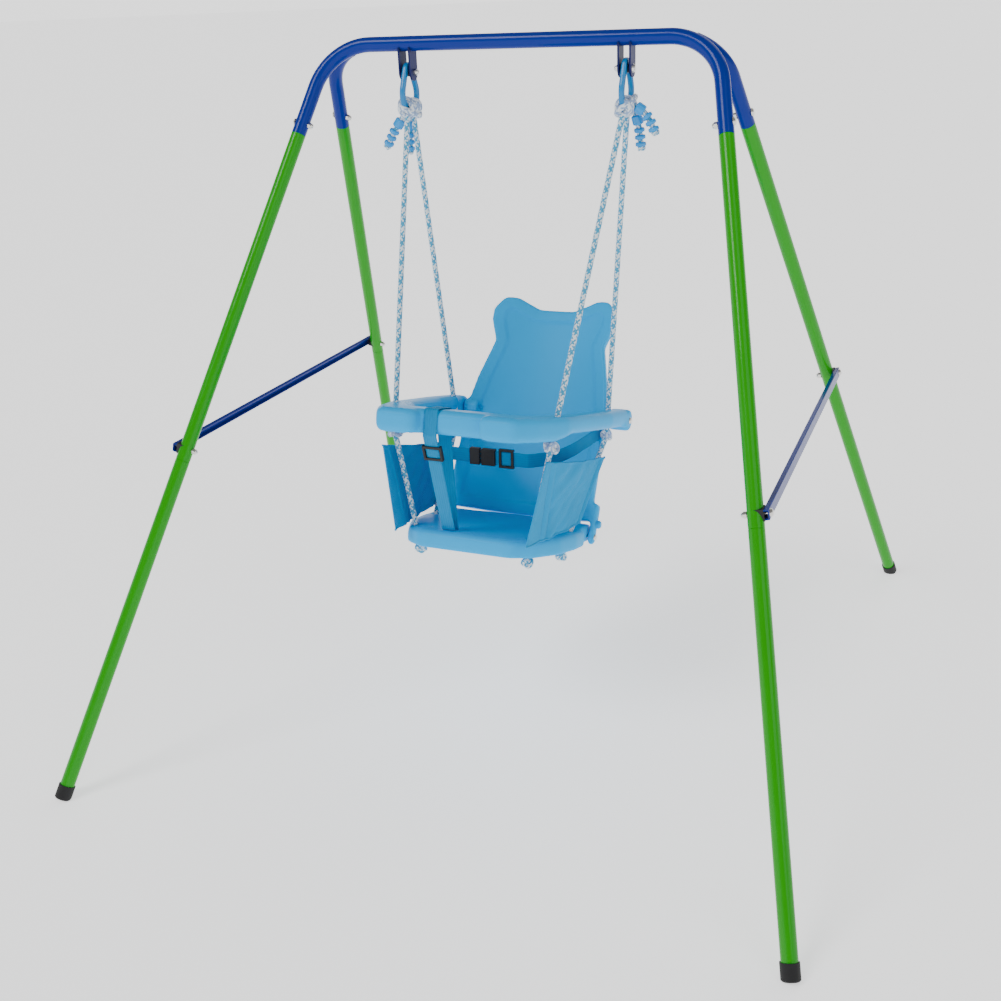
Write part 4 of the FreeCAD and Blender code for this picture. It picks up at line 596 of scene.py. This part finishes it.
def make_top_knots():
    """Each ring's knot: rope wound round the ring's foot, with one turn laid over it."""
    for side_name, side in SIDES:
        centre = flipped(KNOT, side) + Vector((0, 0, -WRAP_DROP))
        name = f"ring_knot_{side_name}"
        mesh = braid_mesh(name, wrap_line(centre, side), WRAP_STRAND, around=32)
        add_piece(name, mesh, KNOT_ROPE, [f"top_knot_{side_name}"])
        name = f"ring_knot_turn_{side_name}"
        mesh = braid_mesh(name, turn_line(centre, side), TURN_STRAND, around=32, closed=True)
        add_piece(name, mesh, KNOT_ROPE)


make_ropes()
make_small_knots()
make_top_knots()


# ---------------------------------------------------------------- rings
# A ring is pear-shaped: a small arc round the pivot, and a wide one round the knot.
RING_TOP = 0.0074
RING_TOP_STEPS = 20
RING_FOOT = 0.0230
RING_FOOT_STEPS = 48
RING_DROP = 0.036
RING_WEB = 0.0095
RING_HALF = 0.0045
RING_SQUARE = 0.45
SECTION_STEPS = 72
RING_RIDGES = 3
RIDGE_RISE = 0.0011
RIDGE_FADE = 0.2


def ring_line():
    """The middle of the ring's section round its pear outline: (y, z) and outward direction."""
    lean = math.asin((RING_FOOT - RING_TOP) / RING_DROP)
    arcs = ((0, RING_TOP, lean, math.pi - lean, RING_TOP_STEPS),
            (-RING_DROP, RING_FOOT, math.pi - lean, 2 * math.pi + lean, RING_FOOT_STEPS))
    points = []
    for centre_z, radius, first, last, steps in arcs:
        for k in range(steps + 1):
            angle = first + (last - first) * k / steps
            out = Vector((math.cos(angle), math.sin(angle)))
            points.append((Vector((0, centre_z)) + out * (radius + RING_WEB / 2), out))
    return points


def ring_section():
    """The section as (along X, outward) offsets, with ridges on both faces."""
    section = []
    for k in range(SECTION_STEPS):
        angle = 2 * math.pi * k / SECTION_STEPS
        x = math.cos(angle)
        out = math.sin(angle)
        wide = math.copysign(abs(x) ** RING_SQUARE, x) * RING_HALF
        tall = math.copysign(abs(out) ** RING_SQUARE, out) * RING_WEB / 2
        groove = RIDGE_RISE * (0.5 - 0.5 * math.cos(2 * math.pi * RING_RIDGES
                                                    * (tall / RING_WEB + 0.5)))
        sunk = math.copysign(RIDGE_RISE - groove, x) * abs(x) ** RIDGE_FADE
        section.append((wide - sunk, tall))
    return section


def make_rings():
    """The two ridged plastic rings that hang from the pivots."""
    outline = ring_line()
    section = ring_section()
    for side_name, side in SIDES:
        rows = []
        for middle, out in outline + outline[:1]:
            rows.append([(side * HANGER_X + wide, middle.x + out.x * tall,
                          PIVOT_Z + middle.y + out.y * tall) for wide, tall in section])
        name = f"ridged_ring_{side_name}"
        mesh = grid_mesh(name, np.array(rows), True, caps=False)
        work = bmesh.new()
        work.from_mesh(mesh)
        bmesh.ops.remove_doubles(work, verts=work.verts, dist=1e-5)
        work.to_mesh(mesh)
        work.free()
        add_piece(name, mesh, MATERIALS["ring_plastic"],
                  [f"rope_ring_{side_name}"])


make_rings()


# ---------------------------------------------------------------- moulded seat pieces
def find_shells(work):
    """The points of a mesh, grouped by the surface that they belong to."""
    waiting = set(work.verts)
    shells = []
    while waiting:
        open_ends = [waiting.pop()]
        shell = list(open_ends)
        while open_ends:
            for edge in open_ends.pop().link_edges:
                for vertex in edge.verts:
                    if vertex in waiting:
                        waiting.remove(vertex)
                        shell.append(vertex)
                        open_ends.append(vertex)
        shells.append(shell)
    return shells


def shell_width(shell):
    """How far a surface reaches along X."""
    return max(v.co.x for v in shell) - min(v.co.x for v in shell)


def drop_inner_shells(mesh):
    """Weld a mesh and keep only its widest surface, without sealed hollows."""
    work = bmesh.new()
    work.from_mesh(mesh)
    bmesh.ops.remove_doubles(work, verts=work.verts, dist=1e-6)
    shells = find_shells(work)
    largest = max(shells, key=shell_width)
    for shell in shells:
        if shell is not largest:
            bmesh.ops.delete(work, geom=shell, context="VERTS")
    work.to_mesh(mesh)
    work.free()


def evaluated(mesh, name, kind, **settings):
    """A copy of a mesh with one modifier applied."""
    work = bpy.data.objects.new(name + "_work", mesh)
    bpy.context.collection.objects.link(work)
    modifier = work.modifiers.new(kind.lower(), kind)
    for key, value in settings.items():
        setattr(modifier, key, value)
    bpy.context.view_layer.update()
    graph = bpy.context.evaluated_depsgraph_get()
    result = bpy.data.meshes.new_from_object(work.evaluated_get(graph))
    bpy.data.objects.remove(work)
    bpy.data.meshes.remove(mesh)
    return result


def make_moulding(node, slot, voxel, smooth_steps, bend=None, press=None):
    """A soft-edged moulding grown from a CAD solid: remeshed, bent, relaxed, then pressed."""
    mesh = frame["nodes"][node].data.copy()
    drop_inner_shells(mesh)
    mesh = evaluated(mesh, node, "REMESH", mode="VOXEL", voxel_size=voxel)
    if bend:
        bend(mesh)
    mesh = evaluated(mesh, node, "SMOOTH", factor=0.6, iterations=smooth_steps)
    if press:
        press(mesh)
    mesh.name = node + "_moulding"
    add_piece(mesh.name, mesh, MATERIALS[slot], [node])


def read_places(mesh, place):
    """A mesh's points in a local frame."""
    places = np.empty(len(mesh.vertices) * 3)
    mesh.vertices.foreach_get("co", places)
    to_local = np.array(place.inverted())
    return places.reshape(-1, 3) @ to_local[:3, :3].T + to_local[:3, 3]


def write_places(mesh, place, local):
    """Put a mesh's points back from a local frame."""
    from_local = np.array(place)
    mesh.vertices.foreach_set("co", (local @ from_local[:3, :3].T
                                     + from_local[:3, 3]).reshape(-1))
    mesh.update()


def nearest_edge(outline, x, y):
    """Distance of points from a closed outline, and the inward direction there."""
    best = np.full(x.shape, 1.0)
    inward = np.zeros((len(x), 2))
    for (ax, ay), (bx, by) in zip(outline, outline[1:] + outline[:1]):
        dx = bx - ax
        dy = by - ay
        length = math.hypot(dx, dy)
        share = np.clip(((x - ax) * dx + (y - ay) * dy) / length ** 2, 0, 1)
        distance = np.hypot(x - ax - share * dx, y - ay - share * dy)
        closer = distance < best
        best = np.where(closer, distance, best)
        inward[closer] = (-dy / length, dx / length)
    return best, inward


# The right half of the tray's outline, from above, in its own frame.
TRAY_HALF = [(0, -0.228), (0.0555, -0.228), (0.0555, -0.258), (0.122, -0.258), (0.146, -0.212),
             (0.170, -0.130), (0.188, 0.060), (0.188, 0.171), (0.149, 0.171), (0.149, 0.060),
             (0.129, -0.0975), (0.104, -0.172), (0, -0.172)]
TRAY_CURL = 0.013
TRAY_WALL = 0.0045
CURL_SLACK = 0.0012
# The curl fades out before the arms' rear ends.
CURL_END = 0.150
CURL_FADE = 0.020
# The tray's underside is a little higher under the arms than under the front bar.
TRAY_UNDERSIDE = -0.042
ARM_RISE = 0.010
ARM_RISE_START = -0.158
ARM_RISE_RUN = 0.054


def curl_tray(mesh):
    """Roll the lower edge of the tray's walls inwards, so that the tray looks round."""
    outline = TRAY_HALF[:-1] + [(-x, y) for x, y in reversed(TRAY_HALF[1:])]
    local = read_places(mesh, SEAT)
    depth, inward = nearest_edge(outline, local[:, 0], local[:, 1])
    y = local[:, 1]
    underside = TRAY_UNDERSIDE + ARM_RISE * np.clip((y - ARM_RISE_START) / ARM_RISE_RUN, 0, 1)
    height = np.clip(local[:, 2] - underside, 0, TRAY_CURL)
    weight = (depth < TRAY_WALL + CURL_SLACK) * np.clip((CURL_END - y) / CURL_FADE, 0, 1)
    angle = (TRAY_CURL - height) / TRAY_CURL * math.pi / 2
    reach = TRAY_CURL - np.minimum(depth, TRAY_WALL)
    new_depth = TRAY_CURL - reach * np.cos(angle)
    new_height = TRAY_CURL - reach * np.sin(angle)
    move = (new_depth - depth) * weight * (height < TRAY_CURL)
    local[:, :2] += inward * move[:, None]
    local[:, 2] += (new_height - height) * weight * (height < TRAY_CURL)
    write_places(mesh, SEAT, local)


PAN_REAR = 0.116
PAN_LIP = 0.012
PAN_LIP_RUN = 0.040
BACK_DISH = 0.350


def fill_pan_rear(mesh):
    """Round the pan's rear edge back towards the dished backrest."""
    local = read_places(mesh, SEAT)
    reach = np.clip(PAN_LIP - local[:, 0] ** 2 / (2 * BACK_DISH), 0, None)
    share = np.clip((local[:, 1] - PAN_REAR + PAN_LIP_RUN) / PAN_LIP_RUN, 0, 1)
    local[:, 1] += reach * share
    write_places(mesh, SEAT, local)


BACK = (SEAT @ Matrix.Translation((0, 0.098, -0.236))
        @ Matrix.Rotation(math.radians(-18.3), 4, "X"))
# The right half of the backrest's outline, seen from the front, in its own frame.
BACK_OUTLINE = [(0.146, 0.028), (0.1425, 0.228), (0.132, 0.290), (0.112, 0.368),
                (0.125, 0.407), (0.125, 0.433), (0.108, 0.459), (0.082, 0.461), (0.036, 0.441)]
RIM = 0.020
RECESS = 0.0035
RECESS_SLOPE = 0.008


def recess_back(mesh):
    """Press a panel into the front of the backrest, inside a raised rim."""
    normals = np.empty(len(mesh.vertices) * 3)
    mesh.vertices.foreach_get("normal", normals)
    # How much each point looks forward: only the backrest's front is pressed.
    facing = -(normals.reshape(-1, 3) @ np.array(BACK.inverted())[:3, :3].T)[:, 1]
    local = read_places(mesh, BACK)
    outline = BACK_OUTLINE + [(-x, z) for x, z in reversed(BACK_OUTLINE)]
    depth, _ = nearest_edge(outline, local[:, 0], local[:, 2])
    share = np.clip((depth - RIM) / RECESS_SLOPE, 0, 1)
    share = share * share * (3 - 2 * share) * np.clip(facing * 3 - 1, 0, 1)
    local[:, 1] += share * RECESS
    write_places(mesh, BACK, local)


make_moulding("guard_tray", "seat_plastic", voxel=0.0018, smooth_steps=26, bend=curl_tray)
make_moulding("seat_pan", "seat_plastic", voxel=0.0022, smooth_steps=40, bend=fill_pan_rear)
make_moulding("backrest", "seat_plastic", voxel=0.0024, smooth_steps=22, press=recess_back)
for buckle_half in ("buckle_socket", "buckle_tongue"):
    make_moulding(buckle_half, "black_plastic", voxel=0.0007, smooth_steps=3)


# ---------------------------------------------------------------- webbing
WEB_HALF = 0.0125
WEB_THICK = 0.0016
WEB_STEP = 0.002
WEB_COLUMNS = 14
# The higher this power, the squarer the strap's edges; they keep a quarter of its thickness.
WEB_EDGE_POWER = 14
WEB_EDGE_LEAST = 0.25


def strap_mesh(name, points, width):
    """A strip of webbing along points; width is the direction and size of its half width."""
    line, places = resampled(points, WEB_STEP)
    across = np.tile(np.array(tuple(width)), (len(line), 1))
    tangents = np.gradient(line, axis=0)
    tangents /= np.linalg.norm(tangents, axis=1)[:, None]
    half = np.linalg.norm(across, axis=1)
    across -= tangents * np.sum(across * tangents, axis=1)[:, None]
    across *= (half / np.linalg.norm(across, axis=1))[:, None]
    out = np.cross(tangents, across)
    out /= np.linalg.norm(out, axis=1)[:, None]
    face = np.linspace(-1, 1, WEB_COLUMNS)
    shares = np.concatenate([face, face[::-1]])
    lift = np.concatenate([np.ones(WEB_COLUMNS), -np.ones(WEB_COLUMNS)]) * WEB_THICK / 2
    edge = np.sqrt(np.clip(1 - np.abs(shares) ** WEB_EDGE_POWER, 0, 1))
    lift *= np.maximum(edge, WEB_EDGE_LEAST)
    grid = (line[:, None, :] + across[:, None, :] * shares[None, :, None]
            + out[:, None, :] * lift[None, :, None])
    mesh = grid_mesh(name, grid, True)
    write_vectors(mesh, "cloth", [[(place, share * wide, 0) for share in shares]
                                  for place, wide in zip(places, half)])
    return mesh


# The crotch strap in the tray's frame, as (y, z): its two layers leave the tray's bar at
# STRAP_LOW, and meet at the pan. STRAP_BEND is its way round each edge of the bar.
STRAP_X = -0.037
STRAP_FRONT = -0.2294
STRAP_REAR = -0.1706
STRAP_LOW = -0.044
STRAP_BEND = ((0, -0.010), (0.0025, 0.0012), (0.010, 0.0018))
STRAP_FOOT_FRONT = (-0.1303, -0.2140)
STRAP_FOOT_REAR = (-0.1168, -0.2140)
SEWN_SHARE = 0.02


def make_crotch_strap():
    """The strap: over the tray's bar, down in two layers, and sewn flat to the pan."""
    route = [STRAP_FOOT_FRONT]
    for edge, inward in ((STRAP_FRONT, 1), (STRAP_REAR, -1)):
        way = [(edge, STRAP_LOW)] + [(edge + inward * y, z) for y, z in STRAP_BEND]
        route += way[::inward]
    route.append(STRAP_FOOT_REAR)
    points = [SEAT @ Vector((STRAP_X, y, z)) for y, z in route]
    start = points[0].lerp(points[1], SEWN_SHARE)
    line = [points[0], start] + rounded_line(points[1:-1], 2) + [points[-1]]
    mesh = strap_mesh("crotch_webbing", line, Vector((WEB_HALF, 0, 0)))
    add_piece("crotch_webbing", mesh, MATERIALS["webbing"], ["crotch_strap"])


# The right half of the lap belt in the belt's frame, as (x, y), up to its straight front.
BELT_ROUTE = ((0.1372, 0.1565), (0.1212, -0.0046), (0.0757, -0.0512))
BELT_FRONT = -0.0512
# The buckle sits off the middle, so the two halves end at different places.
BELT_END = 0.024
BUCKLE_SHIFT = 0.014
# Shares of its first and last runs between which the belt is allowed to bend.
BELT_BACK_SHARE = 0.1
BELT_FRONT_SHARE = 0.15


def make_lap_belt():
    """The two halves of the lap belt, on edge, from the backrest round to the buckle."""
    for side_name, side in SIDES:
        route = [*BELT_ROUTE, (BELT_END - BUCKLE_SHIFT * side, BELT_FRONT)]
        back, bend, front, end = [BELT @ Vector((side * x, y, 0)) for x, y in route]
        curve = rounded_line([back.lerp(bend, BELT_BACK_SHARE), bend, front,
                              front.lerp(end, BELT_FRONT_SHARE)], 2)
        up = (BELT.to_3x3() @ Vector((0, 0, 1))) * WEB_HALF
        name = f"lap_webbing_{side_name}"
        mesh = strap_mesh(name, [back, *curve, end], up)
        add_piece(name, mesh, MATERIALS["webbing"], [f"lap_belt_{side_name}"])


make_crotch_strap()
make_lap_belt()


# ---------------------------------------------------------------- fabric side panels
PANEL_OFF = 0.0066
PANEL_THICK = 0.0016
# How far the cloth reaches past the front rope at its top and foot, and past the rear rope.
PANEL_FRONT_TOP = 0.036
PANEL_FRONT_FOOT = 0.058
PANEL_REAR = 0.009
# How far down the ropes' lower parts the cloth's top and foot are.
PANEL_TOP_SHARE = {"front": 0.08, "rear": 0.25}
PANEL_FOOT_SHARE = 0.93
PANEL_ACROSS = 96
PANEL_DOWN = 64
REAR_ROPE = 0.97
SLEEVE_HALF = 0.045
# Heights of the cloth's relief, in metres.
WRINKLE = 0.0065
FINE_WRINKLE = 0.0034
TOP_PULL = 0.0030
FOOT_PULL = 0.0024
ROPE_ROLL = 0.0034
SEAM_DEPTH = 0.0016
BELLY = 0.0035
TOP_SAG = 0.004
HEM_RADIUS = 0.0019
HEM_OUT = 0.0004
STITCH_OUT = 0.0007


def panel_corner(side, tag, share, spread):
    """A corner of the cloth: a place along a rope's lower part, moved out and along Y."""
    bend = rope_points(side, tag)[1]
    foot = SEAT @ flipped(PAN_HOLES[tag], side)
    return bend.lerp(foot, share) + Vector((side * PANEL_OFF, spread, 0))


def slack(u):
    """How loose the cloth is between its front edge, u = 0, and its rear edge, u = 1."""
    return math.sin(math.pi * u) ** 0.6


def cloth_relief(side, u, v, rope):
    """How far the cloth stands out at a place; rope is where the front rope runs there."""
    beside = min(abs(u - rope), abs(u - REAR_ROPE))
    wrinkle = noise.noise(Vector((u * 3.1 + 7 * side, v * 1.7, 2.0))) * WRINKLE
    wrinkle += noise.noise(Vector((u * 8 + v * 5, v * 2 + 5 * side, 9.0))) * FINE_WRINKLE
    pull = TOP_PULL * math.sin(26 * u + 5 * v) * math.exp(-((v - 0.04) / 0.16) ** 2)
    pull += FOOT_PULL * math.sin(21 * u - 6 * v) * math.exp(-((v - 0.96) / 0.14) ** 2)
    roll = ROPE_ROLL * math.exp(-(beside / 0.028) ** 2)
    seam = SEAM_DEPTH * math.exp(-((beside - SLEEVE_HALF) / 0.010) ** 2)
    away = 1 - math.exp(-(beside / 0.05) ** 2)
    return (wrinkle + pull) * slack(u) * away + roll - seam + BELLY * slack(u) * away


def make_panel(side_name, side):
    """Cloth between the two ropes of a side, turned over them and sewn as sleeves."""
    front_top = panel_corner(side, "front", PANEL_TOP_SHARE["front"], -PANEL_FRONT_TOP)
    rear_top = panel_corner(side, "rear", PANEL_TOP_SHARE["rear"], PANEL_REAR)
    front_foot = panel_corner(side, "front", PANEL_FOOT_SHARE, -PANEL_FRONT_FOOT)
    rear_foot = panel_corner(side, "rear", PANEL_FOOT_SHARE, PANEL_REAR)
    top_width = (front_top - rear_top).length
    foot_width = (front_foot - rear_foot).length
    front_height = (front_top - front_foot).length
    rope_top = PANEL_FRONT_TOP / top_width
    rope_foot = PANEL_FRONT_FOOT / foot_width
    outward = Vector((side, 0, 0))
    rows = []
    cloth = []
    for i in range(PANEL_DOWN + 1):
        v = i / PANEL_DOWN
        rope = rope_top + (rope_foot - rope_top) * v
        row = []
        for j in range(PANEL_ACROSS + 1):
            u = j / PANEL_ACROSS
            point = front_top.lerp(rear_top, u).lerp(front_foot.lerp(rear_foot, u), v)
            sag = Vector((0, 0, -TOP_SAG * slack(u) * (1 - v)))
            row.append(point + sag + outward * (cloth_relief(side, u, v, rope) + PANEL_THICK))
            cloth.append((u * top_width, v * front_height, 0))
        rows.append(row)
    name = f"side_cloth_{side_name}"
    mesh = grid_mesh(name, np.array([[tuple(p) for p in row] for row in rows]), False)
    write_vectors(mesh, "cloth", cloth)
    piece = add_piece(name, mesh, MATERIALS["panel_fabric"],
                      [f"side_panel_{side_name}"])
    thick = piece.modifiers.new("thickness", "SOLIDIFY")
    thick.thickness = PANEL_THICK
    thick.offset = 0
    for edge, row in (("top", rows[0]), ("foot", rows[-1])):
        hem_name = f"hem_{edge}_{side_name}"
        hem = hem_mesh(hem_name, [p + outward * HEM_OUT for p in row], HEM_RADIUS)
        add_piece(hem_name, hem, MATERIALS["panel_fabric"])
    for k, shift in enumerate((SLEEVE_HALF, -SLEEVE_HALF)):
        line = []
        for i in range(2, PANEL_DOWN - 1):
            rope = rope_top + (rope_foot - rope_top) * i / PANEL_DOWN
            line.append(rows[i][round((rope + shift) * PANEL_ACROSS)] + outward * STITCH_OUT)
        make_stitches(f"sleeve_stitch_{k}_{side_name}", line)


HEM_AROUND = 14
HEM_STEP = 0.003
HEM_RIPPLE = 0.10


def hem_mesh(name, points, radius):
    """A rolled hem along an edge of cloth."""
    line, places = resampled(points, HEM_STEP)
    theta = np.linspace(0, 2 * math.pi, HEM_AROUND, endpoint=False)
    ripple = 1 + HEM_RIPPLE * np.sin(places * 900)[:, None]
    spread = radius * ripple * np.ones((1, HEM_AROUND))
    mesh = grid_mesh(name, tube_grid(line, theta, spread), True)
    write_vectors(mesh, "cloth", [[(place, angle * radius, 0) for angle in theta]
                                  for place in places])
    return mesh


STITCH_PITCH = 0.0045
STITCH_LENGTH = 0.0030
THREAD_RADIUS = 0.00045
STITCH_AROUND = 6
# Where a stitch's rings of points lie along it, and how wide they are.
STITCH_RINGS = ((0.0, 0.3), (0.15, 1.0), (0.85, 1.0), (1.0, 0.3))


def make_stitches(name, line):
    """A row of thread stitches along a line."""
    points = resampled(line, STITCH_PITCH)[0]
    vertices = []
    faces = []
    for here, after in zip(points[:-1], points[1:]):
        turn = Vector(after - here).normalized().to_track_quat("Z", "Y").to_matrix()
        base = len(vertices)
        for share, size in STITCH_RINGS:
            for k in range(STITCH_AROUND):
                angle = 2 * math.pi * k / STITCH_AROUND
                offset = turn @ Vector((math.cos(angle) * THREAD_RADIUS * size,
                                        math.sin(angle) * THREAD_RADIUS * size,
                                        share * STITCH_LENGTH))
                vertices.append(tuple(Vector(here) + offset))
        for ring in range(len(STITCH_RINGS) - 1):
            low = base + ring * STITCH_AROUND
            high = low + STITCH_AROUND
            for k in range(STITCH_AROUND):
                n = (k + 1) % STITCH_AROUND
                faces.append((low + k, low + n, high + n, high + k))
        last = base + (len(STITCH_RINGS) - 1) * STITCH_AROUND
        faces.append(tuple(base + k for k in reversed(range(STITCH_AROUND))))
        faces.append(tuple(last + k for k in range(STITCH_AROUND)))
    mesh = bpy.data.meshes.new(name)
    mesh.from_pydata(vertices, [], faces)
    return add_piece(name, mesh, THREAD)


for panel_side_name, panel_side in SIDES:
    make_panel(panel_side_name, panel_side)


# ---------------------------------------------------------------- studio
FLOOR_SIZE = 400
FLOOR_Z = -0.0005
FLOOR_COLOR = (0.90, 0.90, 0.905)
FLOOR_GLOW = 0.95
# The world is bright near the horizon and dimmer above, between two heights of its sphere.
HORIZON_LIGHT = 1.8
WORLD_LIGHT = 0.28
HORIZON_Z = 0.06
SKY_Z = 0.30
# Each soft light: name, where it shines from, strength, and how wide it looks in degrees.
SOFT_LIGHTS = (("key", (-2.6, -3.4, 4.6), 1.4, 24), ("fill", (3.4, -2.6, 3.0), 0.5, 40),
               ("rim", (1.0, 4.0, 3.4), 0.4, 40))


def make_floor():
    """A pale, faintly glowing floor."""
    bpy.ops.mesh.primitive_plane_add(size=FLOOR_SIZE, location=(0, 0, FLOOR_Z))
    floor = bpy.context.object
    floor.name = "studio_floor"
    made, tree, shader, add = new_material("pale_floor")
    speckled(add, tree, shader, FLOOR_COLOR, object_coords(add), 3.0, 0.01, 0.6, 0.03)
    shader.inputs["Emission Color"].default_value = (1.0, 1.0, 1.0, 1)
    shader.inputs["Emission Strength"].default_value = FLOOR_GLOW
    floor.data.materials.append(made)


def make_world():
    """White light from all round, stronger near the horizon."""
    world = bpy.data.worlds.new("studio_light")
    bpy.context.scene.world = world
    world.use_nodes = True
    tree = world.node_tree
    background = tree.nodes["Background"]
    background.inputs["Color"].default_value = (1.0, 1.0, 1.0, 1)
    coords = tree.nodes.new("ShaderNodeTexCoord")
    split = tree.nodes.new("ShaderNodeSeparateXYZ")
    fade = tree.nodes.new("ShaderNodeMapRange")
    for key, value in (("From Min", HORIZON_Z), ("From Max", SKY_Z), ("To Min", HORIZON_LIGHT),
                       ("To Max", WORLD_LIGHT)):
        fade.inputs[key].default_value = value
    tree.links.new(coords.outputs["Generated"], split.inputs["Vector"])
    tree.links.new(split.outputs["Z"], fade.inputs["Value"])
    tree.links.new(fade.outputs["Result"], background.inputs["Strength"])


def make_lights():
    """Three wide suns."""
    for name, place, strength, width in SOFT_LIGHTS:
        data = bpy.data.lights.new(name, "SUN")
        data.energy = strength
        data.angle = math.radians(width)
        lamp = bpy.data.objects.new(name, data)
        lamp.rotation_euler = Vector(place).to_track_quat("Z", "Y").to_euler()
        bpy.context.collection.objects.link(lamp)


make_floor()
make_world()
make_lights()
